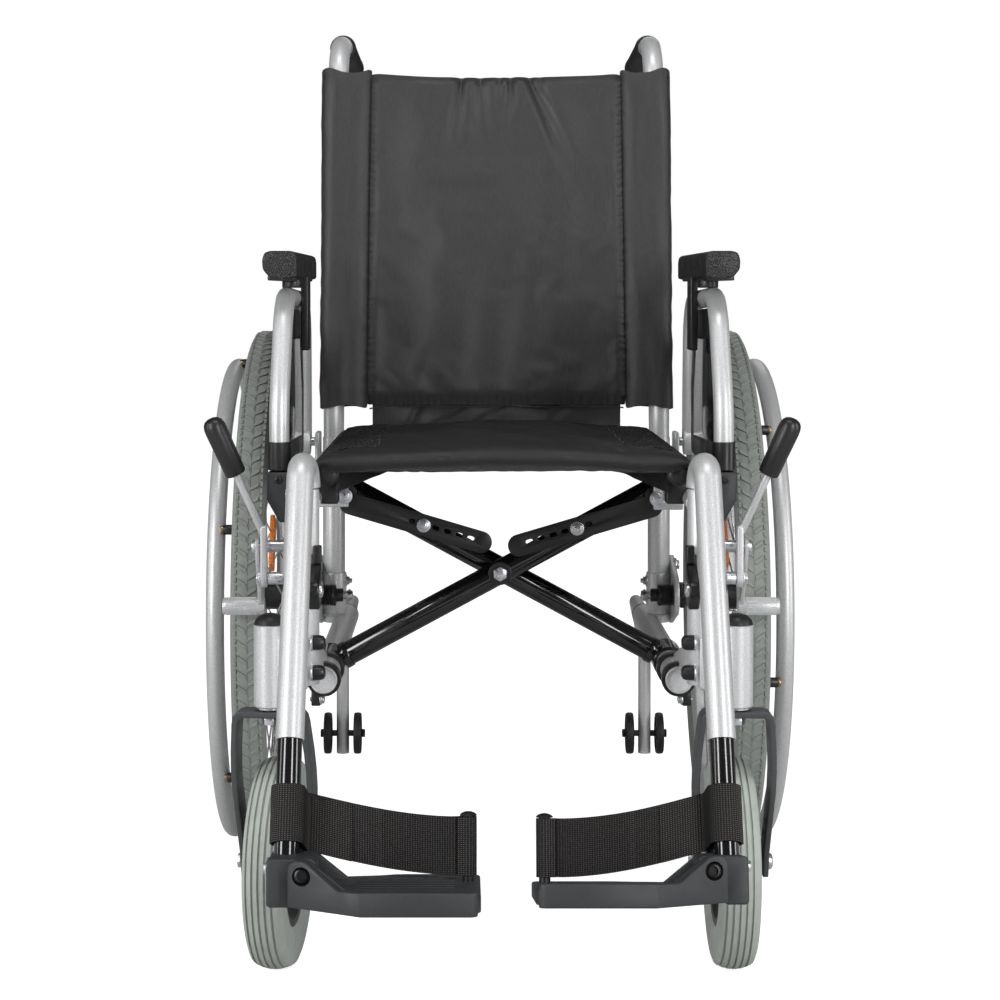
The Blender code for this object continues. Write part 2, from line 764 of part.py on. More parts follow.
def back_sling():
    """The back's cloth, stretched in front of the two canes and hollowed across its middle."""
    front = -CANE_RADIUS - CLEARANCE - SLING_THICKNESS
    fore = [
        (-HALF, front),
        (-HALF * 0.8, front),
        (-HALF * 0.4, front + BACK_SAG * 0.8),
        (0, front + BACK_SAG),
    ]
    fore += [(-x, y) for x, y in reversed(fore[:-1])]
    aft = [(x, y + SLING_THICKNESS) for x, y in reversed(fore)]
    lean = math.tan(RECLINE)
    middle = (BACK_LOW + BACK_HIGH) / 2
    place = Matrix(
        (
            (1, 0, 0, 0),
            (0, 1, lean, UPRIGHT_Y + (middle - CANE_BEND_Z) * lean),
            (0, 0, 1, middle),
            (0, 0, 0, 1),
        )
    )
    sling = plate([fore + aft], BACK_HIGH - BACK_LOW, place)
    flap_y = UPRIGHT_Y + (BACK_LOW - CANE_BEND_Z) * lean + front + BACK_SAG * 0.8
    flap = box(
        (-BACK_FLAP_HALF, flap_y, BACK_LOW - BACK_FLAP),
        (BACK_FLAP_HALF, flap_y + HEM_THICKNESS, BACK_LOW + 0.004),
    )
    sling = unite(sling, flap)
    return finish(sling, "back_sling", "black_nylon", (0, UPRIGHT_Y, BACK_LOW))


def wheel_centre(side):
    return Vector((side * WHEEL_X, AXLE_Y, AXLE_HEIGHT))


def rear_tyre(side, carrier):
    """A round-shouldered tyre, seated in the rim."""
    half, inner = TYRE_WIDTH / 2, WHEEL_RADIUS - TYRE_DEPTH
    profile = [
        (inner, half * 0.8),
        (inner + TYRE_DEPTH * 0.55, half),
        (WHEEL_RADIUS, half * 0.45),
        (WHEEL_RADIUS, -half * 0.45),
        (inner + TYRE_DEPTH * 0.55, -half),
        (inner, -half * 0.8),
    ]
    tyre = turned(profile, wheel_centre(side), (side, 0, 0), RING_STEPS, ring=True)
    return finish(tyre, side_name("rear_tyre", side), "grey_tyre", wheel_centre(side), carrier)


def rim_half(radius):
    """Half the rim's width at a radius, because its walls taper inwards."""
    return RIM_WIDTH / 2 * (1 - RIM_TAPER * (RIM_OUTER - radius) / RIM_DEPTH)


def rear_wheel(side, carrier):
    """Rim, spokes and flanged hub, bored for the quick-release axle."""
    centre = wheel_centre(side)
    outer, inner = RIM_OUTER, RIM_OUTER - RIM_DEPTH
    half = RIM_WIDTH / 2
    rim = turned(
        [(outer, half), (outer, -half), (inner, -rim_half(inner)), (inner, rim_half(inner))],
        centre,
        (side, 0, 0),
        RING_STEPS,
        ring=True,
    )
    face, flange = HUB_HALF_WIDTH, HUB_HALF_WIDTH - 0.0035
    hub = turned(
        [
            (0, face),
            (HUB_RADIUS, face),
            (FLANGE_RADIUS, flange),
            (FLANGE_RADIUS, flange - 0.003),
            (HUB_RADIUS, flange - 0.005),
            (HUB_RADIUS, -flange + 0.005),
            (FLANGE_RADIUS, -flange + 0.003),
            (FLANGE_RADIUS, -flange),
            (HUB_RADIUS, -face),
            (0, -face),
        ],
        centre,
        (side, 0, 0),
        16,
    )
    spokes = []
    for n in range(SPOKES):
        angle = 2 * math.pi * n / SPOKES
        out = Vector((0, math.cos(angle), math.sin(angle)))
        reach = Vector(((1 if n % 2 else -1) * (flange - 0.0015), 0, 0))
        root = centre + reach + out * (FLANGE_RADIUS - 0.004)
        spokes.append(rod(root, centre + out * (inner + 0.005), SPOKE_RADIUS, 4))
    wheel = unite(rim, gather(spokes), hub)
    past = Vector((0.05, 0, 0))
    bore = rod(centre - past, centre + past, AXLE_RADIUS + CLEARANCE)
    made = cut(wheel, bore)
    return finish(made, side_name("rear_wheel", side), "silver_paint", centre, carrier)


def handrim(side, carrier):
    """The push ring, on spacers that stand out from the rim."""
    centre = Vector((side * HANDRIM_X, AXLE_Y, AXLE_HEIGHT))
    ring = turned(
        [(HANDRIM_RING + r, o) for r, o in arc((0, 0), HANDRIM_RADIUS, 0, 300, 5)],
        centre,
        (side, 0, 0),
        RING_STEPS,
        ring=True,
    )
    spacer_ring = HANDRIM_RING + SPACER_SHIFT
    rim_face = side * (WHEEL_X + rim_half(spacer_ring + SPACER_RADIUS) + CLEARANCE)
    spacers = []
    for n in range(SPACERS):
        angle = SPACER_ANGLE[side] + 2 * math.pi * n / SPACERS
        y = AXLE_Y - spacer_ring * math.cos(angle)
        z = AXLE_HEIGHT + spacer_ring * math.sin(angle)
        spacers.append(rod((rim_face, y, z), (side * HANDRIM_X, y, z), SPACER_RADIUS, 6))
    rim = unite(ring, gather(spacers))
    return finish(rim, side_name("handrim", side), "silver_paint", centre, carrier)


def axle_plate(side, carrier):
    """The plate on the upright that carries the threaded bush of the rear axle."""
    x = side * (PLATE_X + PLATE_THICKNESS / 2)
    half_height = 0.040
    outline = arc((AXLE_Y, AXLE_HEIGHT), 0.024, 90, 270, 6)
    outline += [
        (UPRIGHT_Y + 0.016, AXLE_HEIGHT - half_height),
        (UPRIGHT_Y + 0.016, AXLE_HEIGHT + half_height),
    ]
    body = plate([outline], PLATE_THICKNESS, across_x(x))
    hub_face = WHEEL_X - HUB_HALF_WIDTH - 0.003
    bush = rod(
        (side * BUSH_INNER_X, AXLE_Y, AXLE_HEIGHT),
        (side * hub_face, AXLE_Y, AXLE_HEIGHT),
        BUSH_RADIUS,
    )
    bore = rod(
        (side * (BUSH_INNER_X - 0.02), AXLE_Y, AXLE_HEIGHT),
        (side * (hub_face + 0.02), AXLE_Y, AXLE_HEIGHT),
        AXLE_RADIUS + CLEARANCE,
    )
    made = cut(unite(body, bush), bore)
    seat = (x, AXLE_Y, AXLE_HEIGHT)
    return finish(made, side_name("axle_plate", side), "gloss_black", seat, carrier)


def wheel_axle(side, carrier):
    """The quick-release axle: a pin through the bush and hub, with its button outside."""
    face = WHEEL_X + HUB_HALF_WIDTH + CLEARANCE
    profile = [
        (0, RELEASE_X),
        (0.005, RELEASE_X),
        (AXLE_RADIUS, RELEASE_X + 0.002),
        (AXLE_RADIUS, face),
        (0.011, face),
        (0.011, face + 0.004),
        (0.007, face + 0.007),
        (0, face + 0.007),
    ]
    pin = turned(profile, (0, AXLE_Y, AXLE_HEIGHT), (side, 0, 0), 16)
    return finish(pin, side_name("wheel_axle", side), "steel", wheel_centre(side), carrier)


def caster_housing(side, carrier):
    """The swivel housing, with its dome cap and the flange that bolts it to the front post."""
    x = side * CASTER_X
    profile = [
        (0, HOUSING_LOW),
        (HOUSING_RADIUS, HOUSING_LOW),
        (HOUSING_RADIUS, HOUSING_HIGH),
        (HOUSING_RADIUS * 0.8, HOUSING_HIGH + HOUSING_DOME * 0.6),
        (HOUSING_RADIUS * 0.4, HOUSING_HIGH + HOUSING_DOME * 0.95),
        (0, HOUSING_HIGH + HOUSING_DOME),
    ]
    body = turned(profile, (x, CASTER_Y, 0), (0, 0, 1), 18)
    flange = box(
        (side * (POST_X + JUNCTION_HALF_WIDTH + CLEARANCE), CASTER_Y - 0.0135, HOUSING_LOW + 0.016),
        (x, CASTER_Y + 0.0145, HOUSING_HIGH - 0.010),
    )
    bore = rod(
        (x, CASTER_Y, HOUSING_LOW - 0.01),
        (x, CASTER_Y, HOUSING_LOW + 0.052),
        FORK_STEM_RADIUS + CLEARANCE,
    )
    made = cut(unite(body, flange), bore)
    seat = (x, CASTER_Y, HOUSING_LOW)
    return finish(made, side_name("caster_housing", side), "silver_paint", seat, carrier)


def caster_fork(side, carrier):
    """A bent strip fork that trails behind its stem, with the wheel's axle bolt across its legs."""
    top = HOUSING_LOW - 0.0035
    low = CASTER_RADIUS - 0.013
    inner = FORK_OUTER - FORK_THICKNESS
    half = [
        (0, top),
        (inner - 0.004, top),
        (FORK_OUTER - 0.002, top - 0.006),
        (FORK_FLARE, top - 0.055),
        (FORK_FLARE, top - 0.085),
        (FORK_OUTER, CASTER_RADIUS + 0.012),
        (FORK_OUTER, low),
        (inner, low),
        (inner, CASTER_RADIUS + 0.012),
        (FORK_FLARE - FORK_THICKNESS, top - 0.085),
        (FORK_FLARE - FORK_THICKNESS, top - 0.055),
        (inner - 0.003, top - 0.013),
        (0, top - 0.0125),
    ]
    outline = half[1:-1] + [(-x, z) for x, z in reversed(half[1:-1])]
    strip = plate([outline], FORK_DEPTH, across_y(CASTER_Y))
    trail = CASTER_TRAIL / (top - CASTER_RADIUS)
    shear = Matrix(((1, 0, 0, 0), (0, 1, -trail, trail * top), (0, 0, 1, 0), (0, 0, 0, 1)))
    strip.data.transform(shear)
    axle_y = CASTER_Y + CASTER_TRAIL
    reach = FORK_OUTER + 0.005
    axle = rod((-reach, axle_y, CASTER_RADIUS), (reach, axle_y, CASTER_RADIUS), 0.005, 10)
    stem = rod((0, CASTER_Y, top - 0.006), (0, CASTER_Y, HOUSING_LOW + 0.050), FORK_STEM_RADIUS)
    fork = unite(strip, axle, stem)
    pivot = Vector((side * CASTER_X, CASTER_Y, 0))
    fork.data.transform(turned_in_place(side, pivot) @ Matrix.Translation((pivot.x, 0, 0)))
    return finish(fork, side_name("caster_fork", side), "grey_plastic", pivot, carrier)


def turned_in_place(side, pivot):
    """The caster's heading, as a turn about its swivel axis."""
    turn = Matrix.Rotation(CASTER_TURN[side], 4, "Z")
    return Matrix.Translation(pivot) @ turn @ Matrix.Translation(-pivot)


def caster_wheel(side, carrier):
    """The grooved caster tyre on its hub, bored for the axle bolt."""
    half, hub = CASTER_WIDTH / 2, CASTER_HUB_HALF
    profile = [
        (0.0055, hub),
        (0.015, hub),
        (0.017, half * 0.6),
        (CASTER_RADIUS * 0.64, half * 0.55),
        (CASTER_RADIUS * 0.70, half * 0.95),
        (CASTER_RADIUS * 0.90, half * 0.95),
        (CASTER_RADIUS, half * 0.4),
    ]
    profile += [(r, -o) for r, o in reversed(profile)]
    pivot = Vector((side * CASTER_X, CASTER_Y, 0))
    centre = pivot + Vector((0, CASTER_TRAIL, CASTER_RADIUS))
    wheel = turned(profile, centre, (1, 0, 0), 28, ring=True)
    turn = turned_in_place(side, pivot)
    wheel.data.transform(turn)
    return finish(wheel, side_name("caster_wheel", side), "grey_tyre", turn @ centre, carrier)


def slope_point(side, z):
    """A point on the leg rest's sloping centreline."""
    return Vector((side * HANGER_X, slope_y(z), z))


def hanger(side, carrier):
    """The swing-away tube: a spigot in the front post, a tight bend, and the sloping leg."""
    post = Vector((side * POST_X, POST_Y, POST_TOP + 3 * CLEARANCE))
    corner_z = HANGER_LINE_Z + (POST_Y - HANGER_LINE_Y) / HANGER_SLOPE
    corner = Vector((side * (POST_X + 0.003), POST_Y, corner_z))
    line = rounded([post, corner, slope_point(side, HANGER_LOW)], HANGER_BEND, 8)
    leg = tube(line, HANGER_RADIUS, 4)
    spigot = rod(post - Vector((0, 0, SPIGOT_LENGTH)), post + Vector((0, 0, 0.006)), SPIGOT_RADIUS)
    lug_y = slope_y(LATCH_Z)
    lug = box(
        (side * (HANGER_X - 0.010), lug_y + 0.004, LATCH_Z - 0.008),
        (side * (HANGER_X + 0.006), lug_y + 0.046, LATCH_Z + 0.008),
    )
    pin_y = lug_y + 0.036
    pin = rod(
        (side * (HANGER_X - 0.004), pin_y, LATCH_Z),
        (side * (HANGER_X - 0.018), pin_y, LATCH_Z),
        LATCH_PIN_RADIUS,
        10,
    )
    low, high = slope_point(side, HANGER_LOW), slope_point(side, EXTENSION_TOP)
    along = (low - high).normalized()
    bore = rod(high - along * 0.045, low + along * 0.02, EXTENSION_RADIUS + RUNNING)
    made = cut(unite(leg, spigot, lug, pin), bore)
    swing = (post.x, POST_Y, POST_TOP)
    return finish(made, side_name("hanger", side), "silver_paint", swing, carrier)


def hanger_latch(side, carrier):
    """The thumb latch between the hanger and the front post."""
    x = side * (HANGER_X - 0.0155)
    pin_y = slope_y(LATCH_Z) + 0.036
    outline = arc((pin_y, LATCH_Z), 0.010, 120, 240, 5)
    outline += [
        (pin_y + 0.018, LATCH_Z - 0.014),
        (POST_Y - POST_RADIUS - 0.004, LATCH_Z - 0.012),
        (POST_Y - POST_RADIUS - 0.004, LATCH_Z + 0.030),
        (POST_Y - POST_RADIUS - 0.012, LATCH_Z + 0.030),
        (pin_y + 0.012, LATCH_Z + 0.012),
    ]
    hole = arc((pin_y, LATCH_Z), LATCH_PIN_RADIUS + CLEARANCE, 0, 324, 9)
    lever = plate([outline, hole], 0.010, across_x(x))
    pivot = (x, pin_y, LATCH_Z)
    return finish(lever, side_name("hanger_latch", side), "black_plastic", pivot, carrier)


def tilted(side):
    """The footplate's tilt about the hinge, front edge up."""
    hinge = Vector((side * HINGE_X, HINGE_Y, HINGE_Z))
    return Matrix.Translation(hinge) @ Matrix.Rotation(-FOOTPLATE_TILT[side], 4, "X")


def footrest_tube(side, carrier):
    """The sliding extension tube with the clamp block that carries the footplate."""
    low, high = slope_point(side, EXTENSION_LOW), slope_point(side, EXTENSION_TOP)
    slide = rod(low, high, EXTENSION_RADIUS)
    place = tilted(side)
    lip = math.degrees(math.acos(CLAMP_INNER / CLAMP_RADIUS))
    outer = HANGER_X - HINGE_X + 0.020
    outline = arc((0, 0), CLAMP_RADIUS, 180 + lip, 270, 5)
    outline += [(outer, -CLAMP_RADIUS), (outer, CLAMP_TOP), (-CLAMP_INNER, CLAMP_TOP)]
    block = plate([[(side * x, z) for x, z in outline]], CLAMP_DEPTH, across_y(0))
    block.data.transform(place)
    bore = rod((0, -0.05, 0), (0, 0.05, 0), HINGE_PIN_RADIUS + CLEARANCE, 12)
    bore.data.transform(place)
    made = cut(unite(block, slide), bore)
    seat = slope_point(side, CLAMP_Z)
    return finish(made, side_name("footrest_tube", side), "gloss_black", seat, carrier)


def footplate_pin(side, carrier):
    """The hinge screw on which the footplate flips up."""
    face = CLAMP_DEPTH / 2 + EAR_LENGTH + 2 * CLEARANCE
    profile = [
        (0, -face - 0.0035),
        (0.0065, -face - 0.0035),
        (0.0065, -face),
        (HINGE_PIN_RADIUS, -face),
        (HINGE_PIN_RADIUS, face),
        (0, face),
    ]
    pin = turned(profile, (0, 0, 0), (0, 1, 0), 12)
    place = tilted(side)
    pin.data.transform(place)
    return finish(pin, side_name("footplate_pin", side), "steel", place.translation, carrier)


def footplate(side, carrier):
    """The flip-up plate with its two hinge ears, sloping webs and the heel strap's post."""
    place = tilted(side)
    hinge_x = side * HINGE_X
    front_y = -(FOOTPLATE_REACH - (AXLE_Y - HINGE_Y)) / math.cos(FOOTPLATE_TILT[side])
    rear = FOOTPLATE_REAR
    inner, outer = side * FOOTPLATE_TIP_X - hinge_x, side * (EAR_OUTER - 0.0005)
    top = -FOOTPLATE_TOP
    low = top - FOOTPLATE_THICKNESS
    room_half = CLAMP_DEPTH / 2 + CLEARANCE
    ear_starts = (-room_half - EAR_LENGTH, room_half)
    outline = [
        (inner, front_y + 0.006),
        (inner + side * 0.006, front_y),
        (outer - side * 0.035, front_y),
        (outer, front_y + 0.030),
        (outer, room_half + EAR_LENGTH - 0.0005),
        (outer - side * 0.070, rear - 0.008),
        (outer - side * 0.090, rear),
        (inner + side * 0.004, rear),
        (inner, rear - 0.004),
    ]
    deck = plate([outline], FOOTPLATE_THICKNESS, across_z((low + top) / 2))
    web = [
        (side * -0.012, low + 0.004),
        (side * -0.060, low + 0.004),
        (side * -0.055, top + 0.003),
        (side * -0.012, EAR_TOP - 0.002),
    ]
    ears = []
    for y in ear_starts:
        ears.append(
            box((side * -0.013, y, low), (side * EAR_OUTER, y + EAR_LENGTH, EAR_TOP))
        )
        ears.append(plate([web], EAR_LENGTH - 0.0002, across_y(y + EAR_LENGTH / 2)))
    chamfer = box(
        (inner - side * 0.02, front_y - 0.02, low - 0.02),
        (inner + side * 0.010, rear + 0.02, low + 0.002),
    )
    corner = Vector((inner, 0, low + 0.005))
    chamfer.data.transform(
        Matrix.Translation(corner)
        @ Matrix.Rotation(side * math.radians(35), 4, "Y")
        @ Matrix.Translation(-corner)
    )
    bore = rod((0, -0.05, 0), (0, 0.05, 0), HINGE_PIN_RADIUS + CLEARANCE, 12)
    room_low = -CLAMP_RADIUS - CLEARANCE
    room = box((side * (room_low - 0.0002), -room_half, room_low), (side * 0.05, room_half, 0.05))
    plate_body = cut(unite(deck, *ears), room, bore, chamfer)
    post_x = side * HEEL_POST_X - hinge_x
    post = rod(
        (post_x, HEEL_POST_Y, low + 0.004),
        (post_x, HEEL_POST_Y, top + HEEL_POST_HEIGHT),
        HEEL_POST_RADIUS,
        12,
    )
    plate_body = unite(plate_body, post)
    plate_body.data.transform(place)
    hinge = place.translation
    return finish(plate_body, side_name("footplate", side), "grey_plastic", hinge, carrier)


def heel_strap(side):
    """The webbing from its loop round the extension tube to the footplate's post."""
    place = tilted(side)
    hinge_x = side * HINGE_X
    low = -FOOTPLATE_TOP + 0.003
    post_x = side * HEEL_POST_X - hinge_x
    start = post_x + side * (HEEL_POST_RADIUS + CLEARANCE)
    end = side * (HANGER_X - STRAP_LOOP_RADIUS + STRAP_THICKNESS) - hinge_x
    fore, aft = [], []
    for step in range(9):
        share = step / 8
        x = start + (end - start) * share
        y = HEEL_POST_Y + STRAP_REAR * share - STRAP_SLACK * math.sin(math.pi * share)
        fore.append((x, y - STRAP_THICKNESS / 2))
        aft.append((x, y + STRAP_THICKNESS / 2))
    band = plate([fore + list(reversed(aft))], STRAP_WIDTH, across_z(0))
    rise = Matrix.Identity(4)
    rise[2][0] = STRAP_RISE / (end - start)
    rise[2][3] = low + STRAP_WIDTH / 2 - rise[2][0] * start
    band.data.transform(place @ rise)
    centre = slope_point(side, STRAP_LOOP_Z)
    inner, reach = STRAP_LOOP_RADIUS - STRAP_THICKNESS * 0.8, STRAP_WIDTH * 0.46
    profile = [
        (inner, -reach),
        (STRAP_LOOP_RADIUS, -reach),
        (STRAP_LOOP_RADIUS, reach),
        (inner, reach),
    ]
    loop = turned(profile, centre, slope_point(side, 1) - slope_point(side, 0), 16, ring=True)
    band = unite(band, loop)
    return finish(band, side_name("heel_strap", side), "webbing", place.translation)


def arm_line(side):
    """The arch of an armrest, from its front leg over to its rear pivot."""
    x = side * ARM_X
    return [
        Vector((x, ARM_FRONT_Y, ARM_FRONT_LOW + 0.002)),
        Vector((x, ARM_FRONT_Y, ARM_BEND_Z)),
        Vector((x, ARM_FRONT_Y + ARM_LEAN, ARM_TOP)),
        Vector((x, ARM_PIVOT_Y - 0.022, ARM_TOP - 0.006)),
        Vector((x, ARM_PIVOT_Y, ARM_PIVOT_Z)),
    ]


def armrest_frame(side, carrier):
    """The armrest's arch, with an eye round its rear pivot pin."""
    corners = arm_line(side)
    line = rounded(corners[:3], 0.10, 3)[:-1]
    line += rounded(corners[1:4], 0.062, 5)[1:-1]
    line += rounded(corners[2:], 0.055, 5)[1:]
    arch = tube(line, ARM_RADIUS)
    pivot = corners[-1]
    half = 0.0085
    eye = rod(pivot - Vector((half, 0, 0)), pivot + Vector((half, 0, 0)), ARM_EYE_RADIUS)
    past = Vector((0.03, 0, 0))
    bore = rod(pivot - past, pivot + past, ARM_PIN_RADIUS + CLEARANCE, 12)
    made = cut(unite(arch, eye), bore)
    return finish(made, side_name("armrest_frame", side), "silver_paint", pivot, carrier)


def armrest_panel(side, carrier):
    """The skirt guard that fills the arch and hangs below it."""
    gap = ARM_RADIUS + CLEARANCE
    front, rear = ARM_FRONT_Y + gap, ARM_PIVOT_Y - 0.010 - gap
    outline = [
        (front, 0.478),
        (front + 0.004, ARM_BEND_Z - 0.010),
        (front + 0.014, ARM_BEND_Z + 0.018),
        (front + ARM_LEAN - 0.011, ARM_TOP - 0.034),
        (front + 0.075, ARM_TOP - gap - 0.006),
        (rear - 0.060, ARM_TOP - gap - 0.010),
        (rear - 0.034, ARM_TOP - 0.045),
        (rear - 0.010, 0.540),
        (rear - 0.012, 0.470),
        (rear - 0.100, 0.462),
    ]
    panel = plate([outline], PANEL_THICKNESS, across_x(side * ARM_X))
    pivot = arm_line(side)[-1]
    return finish(panel, side_name("armrest_panel", side), "black_plastic", pivot, carrier)


def armrest_pad(side, carrier):
    """The padded rest on the flat stem that slides down inside the arch."""
    half = PAD_HALF_WIDTH
    x = side * PAD_X
    pad = box((x - half, PAD_FRONT_Y, PAD_LOW), (x + half, PAD_REAR_Y, PAD_HIGH))
    bevel = pad.modifiers.new("round", "BEVEL")
    bevel.width = 0.007
    bevel.segments = 2
    pad = bake(pad)
    middle = (PAD_FRONT_Y + PAD_REAR_Y) / 2
    stem = box(
        (side * (ARM_X - ARM_RADIUS - 0.0085), middle - 0.018, PAD_LOW - PAD_STEM_DROP),
        (side * (ARM_X - ARM_RADIUS - CLEARANCE), middle + 0.018, PAD_LOW + 0.006),
    )
    seat = (x, middle, PAD_LOW)
    return finish(unite(pad, stem), side_name("armrest_pad", side), "black_vinyl", seat, carrier)


def armrest_socket(side, carrier):
    """The receiver on the upper rail that the armrest's front leg drops into."""
    x = side * ARM_X
    body = box(
        (x - 0.0115, ARM_FRONT_Y - 0.0145, UPPER_RAIL_Z - 0.027),
        (x + 0.0115, ARM_FRONT_Y + 0.0145, ARM_FRONT_LOW - 0.001),
    )
    half = (ARM_FRONT_Y - POST_Y) / (UPRIGHT_Y - POST_Y)
    rail_x = POST_X + (UPRIGHT_X - POST_X) * half
    arm = box(
        (
            side * (rail_x + UPPER_RAIL_RADIUS + CLEARANCE),
            ARM_FRONT_Y - 0.012,
            UPPER_RAIL_Z - 0.012,
        ),
        (side * ARM_X, ARM_FRONT_Y + 0.012, UPPER_RAIL_Z + 0.012),
    )
    made = unite(body, arm)
    seat = (x, ARM_FRONT_Y, UPPER_RAIL_Z)
    return finish(made, side_name("armrest_socket", side), "grey_plastic", seat, carrier)


def brake_bracket(side, carrier):
    """The plate that hangs from the upper rail and carries the brake's two pivots."""
    inner = BRACKET_X
    rear, front = BRAKE_Y + 0.018, BRAKE_Y - 0.016
    outline = [
        (front, BRAKE_Z - 0.020),
        (rear, BRAKE_Z - 0.020),
        (rear, SHOE_PIVOT_Z + 0.012),
        (rear - 0.006, SHOE_PIVOT_Z + 0.030),
        (rear - 0.006, UPPER_RAIL_Z + 0.008),
        (front + 0.002, UPPER_RAIL_Z + 0.008),
    ]
    body = plate([outline], BRACKET_THICKNESS, across_x(side * (inner + BRACKET_THICKNESS / 2)))
    pad = box(
        (side * (UPRIGHT_X + 0.0095), front + 0.006, UPPER_RAIL_Z - 0.006),
        (side * (inner + 0.001), rear - 0.006, UPPER_RAIL_Z + 0.006),
    )
    root = side * (inner + 0.002)
    lever_pin = rod(
        (root, BRAKE_Y, BRAKE_Z),
        (side * (BRAKE_X + 0.0018), BRAKE_Y, BRAKE_Z),
        BRAKE_PIN_RADIUS,
        10,
    )
    shoe_pin = rod(
        (root, SHOE_PIVOT_Y, SHOE_PIVOT_Z),
        (side * (SHOE_X + 0.0018), SHOE_PIVOT_Y, SHOE_PIVOT_Z),
        BRAKE_PIN_RADIUS,
        10,
    )
    made = unite(body, pad, lever_pin, shoe_pin)
    seat = (side * inner, BRAKE_Y, BRAKE_Z)
    return finish(made, side_name("brake_bracket", side), "silver_paint", seat, carrier)


def brake_lever(side, carrier):
    """The flat bar on its pivot, drawn out into a rod that leans outwards to the grip."""
    pivot = Vector((side * BRAKE_X, BRAKE_Y, BRAKE_Z))
    outline = arc((BRAKE_Y, BRAKE_Z), 0.009, 180, 360, 6)
    outline += [(BRAKE_Y + 0.001, BRAKE_Z + 0.052), (BRAKE_Y - 0.010, BRAKE_Z + 0.052)]
    hole = arc((BRAKE_Y, BRAKE_Z), BRAKE_PIN_RADIUS + CLEARANCE, 0, 324, 9)
    bar = plate([outline, hole], BRAKE_BAR, across_x(pivot.x))
    foot = Vector((pivot.x, BRAKE_Y - 0.0045, BRAKE_Z + 0.046))
    centre = Vector((side * BRAKE_GRIP_X, BRAKE_Y - 0.018, BRAKE_GRIP_Z))
    lean = (centre - foot).normalized()
    half = lean * BRAKE_GRIP_LENGTH / 2
    shaft = rod(foot, centre, 0.004, 10)
    grip = rod(centre - half, centre + half, BRAKE_GRIP_RADIUS * 0.85, 12, BRAKE_GRIP_RADIUS)
    made = unite(bar, shaft, grip)
    return finish(made, side_name("brake_lever", side), "black_plastic", pivot, carrier)


def brake_shoe(side, carrier):
    """The swinging arm with the knurled bar that presses on the tyre."""
    pivot = Vector((side * SHOE_X, SHOE_PIVOT_Y, SHOE_PIVOT_Z))
    tyre_y = AXLE_Y - math.sqrt(WHEEL_RADIUS**2 - (SHOE_Z - AXLE_HEIGHT) ** 2)
    bar_y = tyre_y - SHOE_GAP - SHOE_RADIUS
    outline = arc((pivot.y, pivot.z), 0.008, 0, 180, 6)
    outline += [(bar_y - 0.006, SHOE_Z), (bar_y + 0.006, SHOE_Z)]
    hole = arc((pivot.y, pivot.z), BRAKE_PIN_RADIUS + CLEARANCE, 0, 324, 9)
    arm = plate([outline, hole], BRAKE_BAR, across_x(pivot.x))
    bar = rod(
        (side * (SHOE_X - 0.004), bar_y, SHOE_Z),
        (side * (SHOE_X + 0.038), bar_y, SHOE_Z),
        SHOE_RADIUS,
        14,
    )
    return finish(unite(arm, bar), side_name("brake_shoe", side), "steel", pivot, carrier)


def anti_tip_tube(side, carrier):
    """The turned-down tube that plugs into the lower rail."""
    inner = Vector((side * RAIL_X, RAIL_REAR_Y - SOCKET_DEPTH + 0.003, RAIL_Z))
    drop_y = AXLE_Y + ANTI_TIP_REACH
    corners = [
        inner,
        Vector((side * RAIL_X, drop_y - 0.030, RAIL_Z)),
        Vector((side * ANTI_TIP_X, drop_y, RAIL_Z - 0.060)),
        Vector((side * ANTI_TIP_X, drop_y, ANTI_TIP_LOW)),
    ]
    line = rounded(corners[:3], 0.045, 4)[:-1] + rounded(corners[1:], 0.040, 3)[1:]
    leg = tube(line, ANTI_TIP_RADIUS)
    bore = rod(
        (side * (ANTI_TIP_X - 0.03), drop_y, ANTI_TIP_WHEEL_Z),
        (side * (ANTI_TIP_X + 0.03), drop_y, ANTI_TIP_WHEEL_Z),
        SPINDLE_RADIUS + CLEARANCE,
        10,
    )
    made = cut(leg, bore)
    return finish(made, side_name("anti_tip_tube", side), "silver_paint", inner, carrier)


def anti_tip_wheels(side, carrier):
    """Two small wheels on one spindle through the anti-tip tube."""
    near = ANTI_TIP_TRACK - ANTI_TIP_WHEEL_WIDTH / 2
    far = ANTI_TIP_TRACK + ANTI_TIP_WHEEL_WIDTH / 2
    half = [
        (SPINDLE_RADIUS, 0),
        (SPINDLE_RADIUS, near),
        (ANTI_TIP_WHEEL_RADIUS, near + 0.002),
        (ANTI_TIP_WHEEL_RADIUS, far - 0.002),
        (0.008, far),
        (0.008, far + 0.006),
        (0, far + 0.006),
    ]
    profile = [(r, -o) for r, o in reversed(half[1:])] + half[1:]
    centre = (side * ANTI_TIP_X, AXLE_Y + ANTI_TIP_REACH, ANTI_TIP_WHEEL_Z)
    wheels = turned(profile, centre, (1, 0, 0), 16)
    return finish(wheels, side_name("anti_tip_wheels", side), "black_plastic", centre, carrier)


